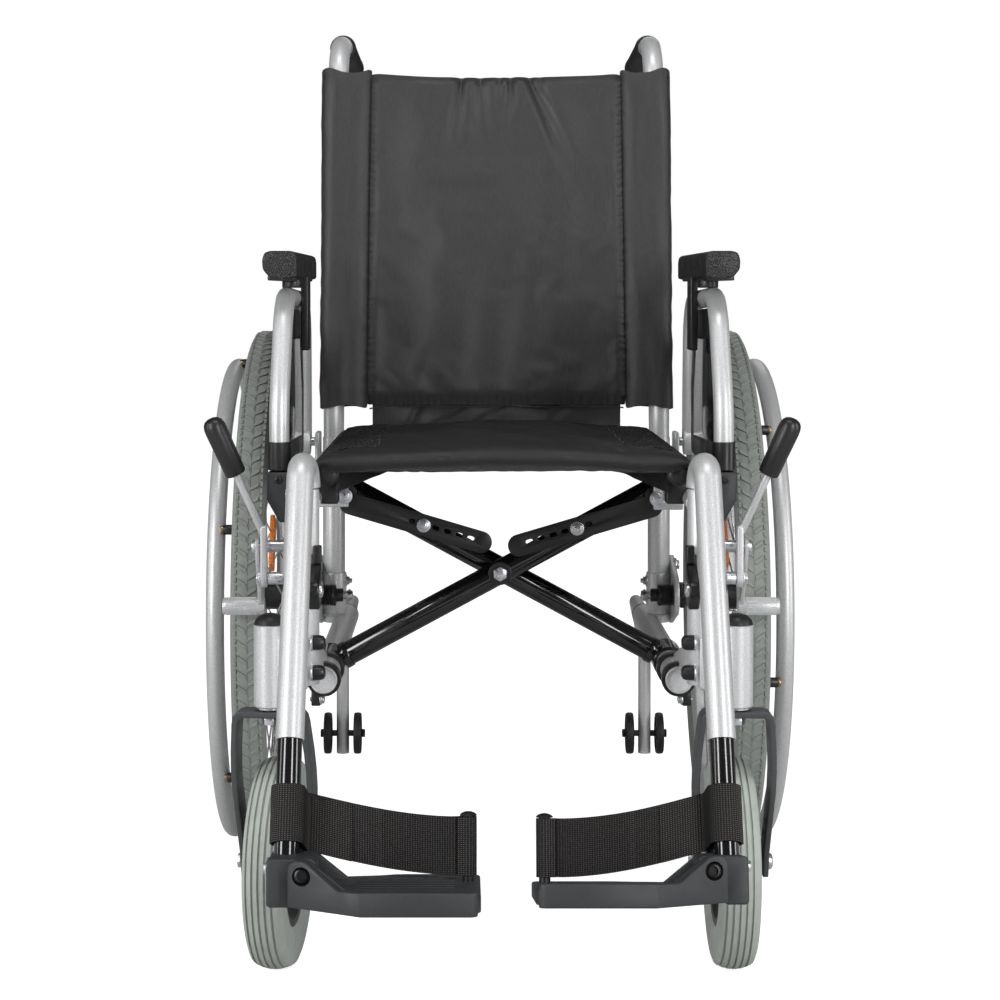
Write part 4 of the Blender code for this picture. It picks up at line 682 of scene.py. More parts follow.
def make_side_frame(name, s):
    """One welded side frame with its rails, uprights, clamps and lugs."""
    body = "frame_" + name
    x, post, upright = s * RAIL_X, s * POST_X, s * UPRIGHT_X
    rail_profile = [(0.0001, 0.003), (0.0116, 0.003), (0.0122, 0), (0.0128, 0), (RAIL_RADIUS, 0.0007)]
    rail_profile += [(RAIL_RADIUS, 0.4593), (0.0128, 0.46), (0.0112, 0.46), (0.0112, 0.03), (0.0001, 0.03)]
    metal = [
        turned(rail_profile, (x, RAIL_FRONT_Y, RAIL_Z), (0, 1, 0), 40),
        bar((post, POST_Y, RAIL_Z + 0.016), (post, POST_Y, 0.4598), 0.0115, 32, 0.001),
        bar((upright, UPRIGHT_Y, RAIL_Z + 0.004), (upright, UPRIGHT_Y, 0.4775), 0.0127, 32, 0.001),
        bar((post, POST_Y, 0.445), (upright, UPRIGHT_Y, 0.445), 0.0105, 28, 0),
        ring_bead((post + (upright - post) * 0.022, POST_Y + 0.0112, 0.445), (0, 1, 0), 0.0106, 0.0012),
        ring_bead((upright, UPRIGHT_Y - 0.0124, 0.445), (0, 1, 0), 0.0106, 0.0012),
        ring_bead((upright, UPRIGHT_Y, RAIL_Z + 0.0128), (0, 0, 1), 0.0128, 0.0014)
    ]
    gusset = [(-0.2105, 0.309), (-0.2105, 0.2765), (-0.1375, 0.2662), (-0.0625, 0.2662), (-0.0655, 0.2745)]
    metal.append(slab(gusset, 0.0058, in_yz(s * 0.179), 0.0012, 3))
    lug_y = (-0.0205 if s < 0 else -0.0515) - 0.0065
    metal.append(block((s * 0.1565, lug_y - 0.004, 0.4215), (upright, lug_y + 0.004, 0.4485), 0.0015, 3))
    metal.append(block((s * 0.199, 0.1775, 0.4515), (s * 0.205, 0.2095, 0.4865), 0.0022, 3))
    metal.append(bar((upright, 0.1935, 0.458), (s * 0.201, 0.1935, 0.458), 0.0055, 20, 0))
    metal.append(bar((upright, UPRIGHT_Y, 0.28), (upright, UPRIGHT_Y, 0.3215), 0.0143, 36, 0.0008))
    metal.append(block((s * 0.1735, 0.233, 0.286), (upright, 0.246, 0.319), 0.0012, 2))
    plate = block((s * 0.1826, -0.2702, 0.2724), (s * 0.1958, -0.2008, 0.3226), 0.003, 4)
    web = [(-0.226, 0.276), (-0.226, 0.314), (-0.212, 0.314), (-0.185, 0.276)]
    metal.append(slab(web, 0.006, in_yz(s * 0.1795), 0.001, 2))
    metal.append(plate)
    held(metal, "frame_tubes_" + name, "silver_paint", body, "silver_paint", "side_frame_" + name)

    domes, rings = [], []
    for up in (0.2882, 0.3164):
        profile = [
            (0.0001, -0.0118), (0.0036, -0.0115), (0.006, -0.01), (0.007, -0.0072), (0.0072, 0), (0.0001, 0)
        ]
        spot = (s * 0.178, -0.264, up)
        domes.append(turned([(r, -d) for r, d in reversed(profile)], spot, (-s, 0, 0), 32))
        rings.append(
            turned(
                [(0.0001, 0), (0.0078, 0), (0.008, 0.0004), (0.008, 0.0016), (0.0001, 0.002)],
                (s * 0.1797, -0.264, up), (-s, 0, 0), 32
            )
        )
    held(domes, "junction_bolts_" + name, "satin_black", body, "black_plastic")
    held(rings, "junction_washers_" + name, "zinc_plate", body, "steel")

    dark = []
    for at in (RAIL_FRONT_Y + 0.004, -0.076):
        band = turned(
            [
                (0.0136, 0), (0.0164, 0), (0.017, 0.0006), (0.017, 0.0114), (0.0164, 0.012),
                (0.0136, 0.012), (0.0136, 0)
            ],
            (x, at, RAIL_Z), (0, 1, 0), 44
        )
        lug = block(
            (x + s * 0.0035, at + 0.0008, RAIL_Z - 0.0265), (x + s * 0.0125, at + 0.0112, RAIL_Z - 0.01),
            0.0012, 2
        )
        dark += [band, lug]
    for y in (-0.1805, 0.1395):
        dark.append(block((s * 0.1582, y - 0.0118, 0.4395), (upright, y + 0.0118, 0.4603), 0.0018, 3))
        for edge in (-1, 1):
            wall_x = s * 0.166 + edge * 0.0128
            dark.append(
                block((wall_x - 0.0016, y - 0.0105, 0.455), (wall_x + 0.0016, y + 0.0105, 0.4705), 0.0008)
            )
    held(dark, "frame_blocks_" + name, "satin_black", body, "black_plastic")


    pins = [
        bar(
            (x + s * 0.014, RAIL_FRONT_Y + 0.01, RAIL_Z - 0.0205),
            (x - s * 0.001, RAIL_FRONT_Y + 0.01, RAIL_Z - 0.0205), 0.0022, 16, 0
        ),
        hex_head((x + s * 0.0036, RAIL_FRONT_Y + 0.01, RAIL_Z - 0.0205), (-s, 0, 0), 0.008, 0.004, 0.0056),
        bar((s * 0.161, lug_y - 0.0035, 0.433), (s * 0.161, lug_y + 0.0085, 0.433), 0.004, 20),
        hex_head((s * 0.161, lug_y - 0.004, 0.433), (0, -1, 0), 0.011, 0.004, 0.0085),
        bar((s * 0.203, 0.1935, 0.475), (s * 0.2275, 0.1935, 0.475), 0.005, 20),
        cap_screw((s * 0.2278, 0.1935, 0.475), (s, 0, 0), 0.0072, 0.0035)
    ]
    held(pins, "frame_pins_" + name, "zinc_plate", body, "steel")


class ChairFrames(bpy.types.Operator):
    """Welds each side frame from its rails, posts and gusset."""

    bl_idname = "chair.frames"
    bl_label = "Side frames"

    def execute(self, context):
        for name, s in SIDES:
            make_side_frame(name, s)
        return {"FINISHED"}


def cane_line(s):
    lean_y = UPRIGHT_Y + 0.439 * math.tan(math.radians(7))
    return [
        Vector((s * UPRIGHT_X, UPRIGHT_Y, 0.42)), Vector((s * UPRIGHT_X, UPRIGHT_Y, 0.5)),
        Vector((s * (UPRIGHT_X - 0.004), lean_y, 0.939)),
        Vector((s * (UPRIGHT_X - 0.01), lean_y + 0.165, 0.921))
    ]


class ChairCanes(bpy.types.Operator):
    """Bends the back canes and slips the ringed push grips over them."""

    bl_idname = "chair.canes"
    bl_label = "Back canes"

    def execute(self, context):
        rings = context.scene.chair_sizes.grip_rings
        for name, s in SIDES:
            body = "frame_" + name
            corners = cane_line(s)
            line = bent(corners[:3], 0.12, 5)[:-1] + bent(corners[1:], 0.045, 14)[1:]
            held(
                pipe(line, 0.0118, 7), "cane_" + name, "silver_paint", body, "silver_paint",
                "back_cane_" + name
            )

            along = (corners[3] - corners[2]).normalized()
            start = corners[3] - along * 0.118
            reach = 0.122
            profile = [(0.0113, 0), (0.0146, 0), (0.0155, 0.0012), (0.0155, 0.0045), (0.0142, 0.0055)]
            pitch = (reach - 0.024) / rings
            for ring in range(rings):
                at = 0.01 + ring * pitch
                profile += [
                    (0.0138, at), (0.0149, at + pitch * 0.18), (0.0151, at + pitch * 0.42),
                    (0.0149, at + pitch * 0.66), (0.0138, at + pitch * 0.84)
                ]
            profile += [
                (0.014, reach - 0.0125), (0.0155, reach - 0.0105), (0.0155, reach - 0.0035),
                (0.014, reach - 0.0008), (0.011, reach), (0.0001, reach)
            ]
            grip = turned(profile, start, along, 36)
            held(grip, "grip_" + name, "satin_black", body, "black_plastic", "push_grip_" + name, angle=50)
        return {"FINISHED"}


def brace_point(s, share, y):
    return Vector((-s * RAIL_X * (2 * share - 1), y, RAIL_Z + 2 * (BRACE_Z - RAIL_Z) * share))


class ChairBrace(bpy.types.Operator):
    """Crosses the two black tubes of the scissor, with their sleeves and seat rails."""

    bl_idname = "chair.brace"
    bl_label = "Cross brace"

    def execute(self, context):
        for name, s in SIDES:
            body = "cross_" + name
            y = BRACE_Y + s * 0.0155
            low, high = brace_point(s, 0, y), brace_point(s, 0.955, y)
            along = (high - low).normalized()
            arm = [bar(low + along * 0.0155, high, 0.0125, 36, 0.001)]
            arm.append(bar(low + along * 0.015, low + along * 0.0235, 0.0138, 36, 0.0012))
            sleeve = [
                (0.01402, 0), (0.0162, 0), (0.017, 0.0008), (0.017, 0.0592), (0.0162, 0.06), (0.01402, 0.06)
            ]
            sleeve.append(sleeve[0])
            arm.append(turned(sleeve, (low.x, y - 0.03, low.z), (0, 1, 0), 40))
            rail_x = -s * 0.166
            arm.append(bar((rail_x, -0.2365, 0.472), (rail_x, 0.1775, 0.472), 0.011, 32, 0.001))
            saddle_low = high.z - 0.006
            arm.append(
                block(
                    (rail_x - 0.007, y - 0.0108, saddle_low), (rail_x + 0.005, y + 0.0108, 0.468), 0.002, 3
                )
            )
            held(arm, "brace_arm_" + name, "gloss_black", body, "gloss_black", "cross_tube_" + name)

            ends = []
            for end_y, way in ((-0.2385, -1), (0.1795, 1)):
                root = end_y - way * 0.003
                profile = [
                    (0.0001, 0.0045), (0.006, 0.0042), (0.0095, 0.003), (0.0112, 0.001), (0.0112, -0.0005),
                    (0.0001, -0.0005)
                ]
                ends.append(turned(profile, (rail_x, root, 0.472), (0, way, 0), 28))
            held(ends, "seat_rail_plugs_" + name, "satin_black", body, "black_plastic")

        front, rear = BRACE_Y - 0.0155 - 0.0128, BRACE_Y + 0.0155 + 0.0128
        bolt = [bar((0, front - 0.001, BRACE_Z), (0, rear + 0.001, BRACE_Z), 0.004, 20, 0)]
        bolt.append(hex_head((0, front - 0.0012, BRACE_Z), (0, -1, 0), 0.013, 0.0068, 0))
        bolt.append(hex_head((0, rear + 0.0002, BRACE_Z), (0, 1, 0), 0.013, 0.0058, 0, 0.001))
        held(bolt, "pivot_screw", "zinc_plate", "cross_right", "steel", "pivot_bolt")
        washer = turned(
            [
                (0.0045, 0), (0.0115, 0), (0.012, 0.0005), (0.012, 0.0013), (0.0112, 0.0019),
                (0.0045, 0.0019), (0.0045, 0)
            ],
            (0, front, BRACE_Z), (0, -1, 0), 36
        )
        held(washer, "pivot_washer", "satin_black", "cross_right", "black_plastic")
        return {"FINISHED"}


def link_place(s):
    """The strip's own frame: its origin on the middle line below the pin, x along it."""
    bolt = Vector((s * 0.079, 0, BRACE_Z + (BRACE_Z - RAIL_Z) * 0.079 / RAIL_X + 0.004))
    y = BRACE_Y + 0.0005 if s < 0 else -0.051
    slope = math.radians(16.5)
    along = Vector((-s * math.cos(slope), 0, -math.sin(slope)))
    lie = Matrix(
        (along, Vector((s * math.sin(slope), 0, -math.cos(slope))), Vector((0, 1, 0)))
    ).transposed().to_4x4()
    lie.translation = Vector((bolt.x, y, bolt.z)) - along * LINK_BOLT
    return lie


def make_link(name, s):
    """One slotted link strip with its bolt and nut."""
    lie = link_place(s)
    away, along = lie.to_3x3() @ Vector((0, 0, 1)), lie.to_3x3() @ Vector((1, 0, 0))
    outline = arc((0.006, 0), 0.0113, 90, 270, 12) + arc((LINK_REACH, 0), 0.0113, -90, 90, 12)
    pin = Vector((s * 0.161, lie.translation.y, 0.433))
    eye = bar(pin - away * 0.002, pin + away * 0.002, 0.013, 40, 0)
    strip = welded(slab(outline, 0.004, lie, 0), eye)
    cutters = [bar(pin - away * 0.01, pin + away * 0.01, 0.0043, 20, 0)]
    for slot in (-1, 1, 2, 3, 4):
        spot = lie @ Vector((LINK_BOLT + 0.0127 * slot, -0.001, 0))
        hole = slab(
            arc((0.0016, 0), 0.0023, -90, 90, 6) + arc((-0.0016, 0), 0.0023, 90, 270, 6), 0.02,
            Matrix.Translation(spot) @ lie.to_3x3().to_4x4(), 0
        )
        cutters.append(hole)
    strip = softened(drilled(strip, *cutters), 0.0004, 2, 50)
    held(strip, "link_strip_" + name, "satin_black", "link_arm_" + name, "black_plastic", "link_arm_" + name)
    head = lie.translation + along * LINK_BOLT
    toward = Vector((0, -1, 0))
    bolt = hex_head(head + toward * 0.002, toward, 0.01, 0.0046, 0.0072, 0.004)
    held(bolt, "link_bolt_" + name, "zinc_plate", "link_arm_" + name, "steel")


class ChairLinks(bpy.types.Operator):
    """Hangs the slotted link arms between the side frames and the brace."""

    bl_idname = "chair.links"
    bl_label = "Link arms"

    def execute(self, context):
        for name, s in SIDES:
            make_link(name, s)
        return {"FINISHED"}


def wheel_centre(s):
    return Vector((s * AXLE.x, AXLE.y, AXLE.z))


class ChairTyres(bpy.types.Operator):
    """Moulds the push wheels' grey tyres with their chevron tread."""

    bl_idname = "chair.tyres"
    bl_label = "Push tyres"

    def execute(self, context):
        pitch = context.scene.chair_sizes.tread_pitch
        for name, s in SIDES:
            centre = wheel_centre(s)
            profile = [
                (0.2776, 0.0128), (0.28, 0.0145), (0.285, 0.0168), (0.2895, 0.01745), (0.2935, 0.016),
                (0.2962, 0.013), (0.2978, 0.009), (0.2986, 0.0045)
            ]
            profile += [(r, -o) for r, o in reversed(profile)]
            profile.append(profile[0])
            tyre = turned(profile, centre, (s, 0, 0), 128)

            count = round(2 * math.pi * 0.299 / pitch)
            step = 2 * math.pi / count
            lugs = []
            for way in (-1, 1):
                outline = [
                    (way * 0.0007, -0.0046), (way * 0.0095, 0.001), (way * 0.0095, 0.0052),
                    (way * 0.0007, -0.0004)
                ]
                top = centre + Vector((0, 0, 0.2991))
                lug = slab(outline, 0.0018, Matrix.Translation(top) @ Matrix.Rotation(0, 4, "Z"), 0.0003, 1)
                turn = spun(centre, (1, 0, 0), step * (0.5 if way > 0 else 0))
                lug.data.transform(turn)
                lugs.append(lug)
            for way in (-1, 1):
                for at in (0.25, 0.75):
                    dash = block(
                        centre + Vector((way * 0.0108, -0.0026, 0.2955)),
                        centre + Vector((way * 0.0135, 0.0026, 0.2985)), 0.0003, 1
                    )
                    dash.data.transform(spun(centre, (1, 0, 0), step * at))
                    lugs.append(dash)
            rib = turned(
                [
                    (0.2975, 0.0004), (0.2994, 0.0004), (0.2994, -0.0004), (0.2975, -0.0004),
                    (0.2975, 0.0004)
                ],
                centre, (1, 0, 0), 128
            )
            tread = repeated(joined(lugs), [spun(centre, (1, 0, 0), step * n) for n in range(count)])
            # The push wheels' tyres take the darker copy of the rubber, which is painted shade.
            held(
                [tyre, tread, rib], "tyre_" + name, "rear_tyre_shaded_grey", "wheel_" + name, "grey_tyre",
                "rear_tyre_" + name
            )
        return {"FINISHED"}


class ChairWheels(bpy.types.Operator):
    """Builds the rims, hubs, laced spokes, nipples and reflectors of the push wheels."""

    bl_idname = "chair.wheels"
    bl_label = "Push wheels"

    def execute(self, context):
        spokes = context.scene.chair_sizes.spokes
        for name, s in SIDES:
            body = "wheel_" + name
            centre = wheel_centre(s)
            rim = [
                (0.2771, 0.0125), (0.2758, 0.0125), (0.27, 0.0112), (0.2652, 0.0098), (0.263, 0.008),
                (0.2622, 0.005), (0.2622, -0.005), (0.263, -0.008), (0.2652, -0.0098), (0.27, -0.0112),
                (0.2758, -0.0125), (0.2771, -0.0125), (0.2771, -0.011), (0.2735, -0.01), (0.2735, 0.01),
                (0.2771, 0.011), (0.2771, 0.0125)
            ]
            hoop = turned(rim, centre, (s, 0, 0), 128)
            held(hoop, "rim_" + name, "silver_paint", body, "silver_paint", "rear_wheel_" + name)

            hub = [
                (0.0066, 0.0278), (0.012, 0.0278), (0.0165, 0.0262), (0.0172, 0.0248), (0.026, 0.024),
                (0.0268, 0.0232), (0.0268, 0.0222), (0.026, 0.0214), (0.019, 0.0206), (0.0165, 0.019),
                (0.016, 0.014)
            ]
            hub += [(r, -o) for r, o in reversed(hub)]
            hub.append(hub[0])
            held(turned(hub, centre, (s, 0, 0), 48), "hub_" + name, "satin_black", body, "black_plastic")

            wires = []
            for side in (-1, 1):
                for lean in (-1, 1):
                    at_hub = centre + Vector((side * 0.0226, 0, 0.0235))
                    at_rim = centre + Vector((side * 0.002, 0, 0.263))
                    turn = lean * math.radians(55)
                    root = spun(centre, (1, 0, 0), turn) @ at_hub
                    wires.append((root, at_rim, side, lean))
            quarter = spokes // 4
            shapes = []
            for index, (root, tip, side, lean) in enumerate(wires):
                offset = 2 * math.pi / spokes * index
                shift = spun(centre, (1, 0, 0), offset)
                wire = bar(shift @ root, shift @ tip, 0.001, 8, 0)
                along = ((shift @ tip) - (shift @ root)).normalized()
                cap = bar((shift @ tip) - along * 0.011, (shift @ tip) + along * 0.001, 0.0019, 10, 0.0003)
                head = bar(
                    (shift @ root) + Vector((side * 0.0008, 0, 0)),
                    (shift @ root) + Vector((side * 0.0024, 0, 0)), 0.0018, 10, 0.0003
                )
                shapes.append(joined([wire, cap, head]))
            lacing = repeated(
                joined(shapes), [spun(centre, (1, 0, 0), 2 * math.pi / quarter * n) for n in range(quarter)]
            )
            held(lacing, "spokes_" + name, "bright_steel", body, "steel")

            amber = []
            for angle in (60.5, 180.5, 300.5):
                flat = block(
                    centre + Vector((-s * 0.0095, -0.029, 0.138)),
                    centre + Vector((-s * 0.015, 0.029, 0.16)), 0.0015, 3
                )
                flat.data.transform(spun(centre, (1, 0, 0), math.radians(angle)))
                amber.append(flat)
            held(amber, "reflectors_" + name, "amber_reflector", body, "grey_plastic")
        return {"FINISHED"}


def make_push_ring(name, s):
    """One push ring with its spacers and screws."""
    body = "wheel_" + name
    centre = Vector((s * 0.292, AXLE.y, AXLE.z))
    bpy.ops.mesh.primitive_torus_add(
        major_radius=0.259, minor_radius=0.0095, major_segments=144, minor_segments=24, location=centre,
        rotation=(0, math.pi / 2, 0)
    )
    ring = fixed(bpy.context.active_object)
    held(ring, "push_ring_" + name, "silver_paint", body, "silver_paint", "handrim_" + name)

    first = math.radians(22 if s < 0 else 48)
    sleeves, screws = [], []
    for step in range(6):
        angle = first + step * math.pi / 3
        spot = Vector((0, AXLE.y - 0.2665 * math.cos(angle), AXLE.z + 0.2665 * math.sin(angle)))
        inner, outer = Vector((s * 0.2668, 0, 0)), Vector((s * 0.2845, 0, 0))
        sleeves.append(bar(spot + inner, spot + outer, 0.0052, 24, 0.0005))
        screws.append(
            bar(
                spot + outer - Vector((s * 0.0004, 0, 0)), spot + Vector((s * 0.287, 0, 0)), 0.0044, 20,
                0.0004
            )
        )
    held(sleeves, "ring_spacers_" + name, "satin_black", body, "black_plastic")
    held(screws, "ring_ferrules_" + name, "brass", body, "steel")


class ChairPushRings(bpy.types.Operator):
    """Sets the push rings out from the rims on their spacers."""

    bl_idname = "chair.push_rings"
    bl_label = "Push rings"

    def execute(self, context):
        for name, s in SIDES:
            make_push_ring(name, s)
        return {"FINISHED"}


def make_axle(name, s):
    """One axle plate with its bush, nuts and quick-release axle."""
    body = "frame_" + name
    y, z = AXLE.y, AXLE.z
    outline = arc((y, z), 0.024, 90, 270, 20) + [(0.2555, z - 0.04), (0.2555, z + 0.04)]
    sheet = slab(outline, 0.0058, in_yz(s * 0.203), 0.0015, 3)
    sheet = drilled(sheet, bar((s * 0.19, y, z), (s * 0.215, y, z), 0.009, 32, 0))
    held(sheet, "axle_sheet_" + name, "silver_paint", body, "silver_paint", "axle_plate_" + name)

    threads = [(0.0066, 0.1745), (0.0072, 0.1745), (0.0074, 0.175), (0.0074, 0.183), (0.0105, 0.1832)]
    for crest in range(7):
        at = 0.1835 + crest * 0.0022
        threads += [(0.011, at), (0.0122, at + 0.0007), (0.0122, at + 0.0013), (0.011, at + 0.002)]
    threads += [(0.0112, 0.1995), (0.0124, 0.1998), (0.0124, 0.2065), (0.0112, 0.207)]
    for crest in range(7):
        at = 0.2072 + crest * 0.0022
        threads += [(0.011, at), (0.0122, at + 0.0007), (0.0122, at + 0.0013), (0.011, at + 0.002)]
    threads += [(0.0105, 0.2245), (0.0066, 0.2245), (0.0066, 0.1745)]
    bush = turned(threads, (0, y, z), (s, 0, 0), 40)
    nuts = [
        bar((s * 0.1824, y, z), (s * 0.1862, y, z), 0.0132, 6, 0.0008),
        bar((s * 0.2074, y, z), (s * 0.213, y, z), 0.016, 6, 0.0008)
    ]
    held([bush, *nuts], "axle_bush_" + name, "satin_black", body, "black_plastic")

    pin = [
        (0.0001, 0.1635), (0.004, 0.1635), (0.0052, 0.1642), (0.0056, 0.1655), (0.0056, 0.17),
        (0.0046, 0.1704), (0.0046, 0.176), (0.006, 0.1764), (0.0062, 0.284), (0.0105, 0.2843),
        (0.011, 0.285), (0.011, 0.2875), (0.01, 0.2884), (0.0072, 0.2886), (0.0068, 0.2906),
        (0.0055, 0.2912), (0.0001, 0.2912)
    ]
    rod = turned(pin, (0, y, z), (s, 0, 0), 36)
    balls = []
    for way in (-1, 1):
        bpy.ops.mesh.primitive_uv_sphere_add(
            segments=16, ring_count=10, radius=0.0018, location=(s * 0.1675, y, z + way * 0.005)
        )
        balls.append(fixed(bpy.context.active_object))
    held([rod, *balls], "axle_pin_" + name, "bright_steel", body, "steel", "wheel_axle_" + name)

    bolts = []
    for up in (-0.0075, 0.0115):
        spot = Vector((s * 0.206, 0.2395, z + up * 2.6))
        bolts.append(hex_head(spot, (s, 0, 0), 0.01, 0.0045, 0.0078))
        bolts.append(
            hex_head(Vector((s * 0.1733, 0.2395, z + up)), (-s, 0, 0), 0.009, 0.0042, 0.0066, 0.003)
        )
    held(bolts, "axle_bolts_" + name, "zinc_plate", body, "steel")


class ChairAxles(bpy.types.Operator):
    """Fits the axle plates, their threaded bushes and the quick-release axles."""

    bl_idname = "chair.axles"
    bl_label = "Axle plates"

    def execute(self, context):
        for name, s in SIDES:
            make_axle(name, s)
        return {"FINISHED"}


def caster_turn(s):
    """The caster's heading about its swivel axis."""
    return spun((s * 0.218, -0.2655, 0), (0, 0, 1), math.radians(-6) if s < 0 else 0)


def make_caster(name, s):
    """One caster: its barrel, fork, wheel and grooved tyre."""
    body = "frame_" + name
    x, y = s * 0.218, -0.2655
    barrel = turned(
        [
            (0.0085, 0.2572), (0.0148, 0.2572), (0.0154, 0.258), (0.0154, 0.333), (0.0148, 0.3338),
            (0.0085, 0.3338), (0.0085, 0.2572)
        ],
        (x, y, 0), (0, 0, 1), 44
    )
    arm = block((s * 0.1964, y - 0.0132, 0.2734), (x, y + 0.0142, 0.3236), 0.003, 3)
    barrel = drilled(welded(barrel, arm), bar((x, y, 0.25), (x, y, 0.34), 0.0085, 36, 0))
    held(barrel, "caster_barrel_" + name, "silver_paint", body, "silver_paint", "caster_housing_" + name)

    dome = turned(
        [
            (0.0001, 0.3446), (0.005, 0.3441), (0.01, 0.342), (0.0136, 0.3385), (0.015, 0.3345),
            (0.0152, 0.334), (0.008, 0.3336), (0.0078, 0.328), (0.0001, 0.328)
        ],
        (x, y, 0), (0, 0, 1), 36
    )
    held(dome, "caster_cap_" + name, "black_plastic", body, "black_plastic")
    race = turned(
        [
            (0.0064, 0.2545), (0.013, 0.2545), (0.014, 0.2552), (0.014, 0.2568), (0.013, 0.2573),
            (0.0064, 0.2573), (0.0064, 0.2545)
        ],
        (x, y, 0), (0, 0, 1), 36
    )
    held(race, "caster_race_" + name, "bright_steel", body, "steel")

    turn = caster_turn(s)
    top = 0.2535
    half = [
        (0.0255, top), (0.0305, top - 0.0012), (0.0335, top - 0.005), (0.035, top - 0.012),
        (0.0375, top - 0.04), (0.0385, top - 0.06), (0.0385, top - 0.08), (0.0368, top - 0.11),
        (0.035, 0.112), (0.035, 0.087), (0.0295, 0.087), (0.0295, 0.112), (0.0313, top - 0.11),
        (0.033, top - 0.08), (0.033, top - 0.06), (0.032, top - 0.04), (0.0296, top - 0.015),
        (0.028, top - 0.0085), (0.024, top - 0.006)
    ]
    outline = half + [(-a, b) for a, b in reversed(half)]
    strip = slab(outline, 0.03, in_xz(y), 0.0012, 3)
    lean = 0.045 / (top - 0.1)
    shear = Matrix(((1, 0, 0, x), (0, 1, -lean, lean * top), (0, 0, 1, 0), (0, 0, 0, 1)))
    strip.data.transform(shear)
    axle_y = y + 0.045
    for_holes = []
    for spare in (0.128, 0.142):
        hole_y = y + lean * (top - spare)
        for_holes.append(bar((x - 0.05, hole_y, spare), (x + 0.05, hole_y, spare), 0.0035, 16, 0))
    strip = drilled(strip, *for_holes)
    strip.data.transform(turn)
    held(
        strip, "fork_strip_" + name, "fork_grey", "caster_fork_" + name, "grey_plastic",
        "caster_fork_" + name
    )

    stem = bar((x, y, top - 0.0062), (x, y, 0.3068), 0.0059, 24, 0.0004)
    nut = bar((x, y, top - 0.0065), (x, y, top - 0.0135), 0.0085, 6, 0.0006)
    bolt = bar((x - 0.0365, axle_y, 0.1), (x + 0.0365, axle_y, 0.1), 0.0049, 20, 0.0004)
    heads = [
        cap_screw((x + 0.035, axle_y, 0.1), (1, 0, 0), 0.0078, 0.005),
        hex_head((x - 0.035, axle_y, 0.1), (-1, 0, 0), 0.0125, 0.005)
    ]
    metal = joined([stem, nut, bolt, *heads])
    metal.data.transform(turn)
    held(metal, "fork_axle_" + name, "zinc_plate", "caster_fork_" + name, "steel")

    centre = Vector((x, axle_y, 0.1))
    tread = [
        (0.06, 0.015), (0.064, 0.0176), (0.072, 0.0186), (0.085, 0.0188), (0.0915, 0.0184), (0.095, 0.017)
    ]
    for groove in range(6):
        at = 0.0148 - groove * 0.00592
        tread += [
            (0.1 - 0.0034 * (at / 0.0148) ** 2, at),
            (0.1 - 0.0034 * ((at - 0.0036) / 0.0148) ** 2, at - 0.0036) if groove < 5 else (0.0966, -0.0148)
        ]
        if groove < 5:
            tread += [
                (0.0978 - 0.0034 * (abs(at - 0.0042) / 0.0148) ** 2, at - 0.0042),
                (0.0978 - 0.0034 * (abs(at - 0.0054) / 0.0148) ** 2, at - 0.0054)
            ]
    tread += [
        (0.095, -0.017), (0.0915, -0.0184), (0.085, -0.0188), (0.072, -0.0186), (0.064, -0.0176),
        (0.06, -0.015), (0.06, 0.015)
    ]
    tyre = turned(tread, centre, (1, 0, 0), 96)
    tyre.data.transform(turn)
    held(
        tyre, "caster_tyre_" + name, "grey_tyre", "caster_wheel_" + name, "grey_tyre",
        "caster_wheel_" + name
    )

    hub = [
        (0.0056, 0.0234), (0.013, 0.0234), (0.015, 0.0222), (0.0165, 0.013), (0.0185, 0.0085),
        (0.046, 0.0075), (0.05, 0.01), (0.054, 0.015), (0.061, 0.0155)
    ]
    hub += [(r, -o) for r, o in reversed(hub)]
    hub.append(hub[0])
    disc = turned(hub, centre, (1, 0, 0), 72)
    cutters = []
    for step in range(6):
        spoke = bar(centre + Vector((-0.03, 0, 0.0325)), centre + Vector((0.03, 0, 0.0325)), 0.0095, 28, 0)
        spoke.data.transform(spun(centre, (1, 0, 0), step * math.pi / 3))
        cutters.append(spoke)
    disc = softened(drilled(disc, *cutters), 0.0006, 2, 60)
    disc.data.transform(turn)
    held(disc, "caster_disc_" + name, "hub_grey", "caster_wheel_" + name, "grey_plastic")


class ChairCasters(bpy.types.Operator):
    """Mounts the swivel housings, the bent forks and the grooved caster wheels."""

    bl_idname = "chair.casters"
    bl_label = "Casters"

    def execute(self, context):
        for name, s in SIDES:
            make_caster(name, s)
        return {"FINISHED"}


def slope_point(s, z):
    """A point on the leg rest's sloping centreline."""
    return Vector((s * 0.19, -0.3005 - 0.46 * (0.4536 - z), z))


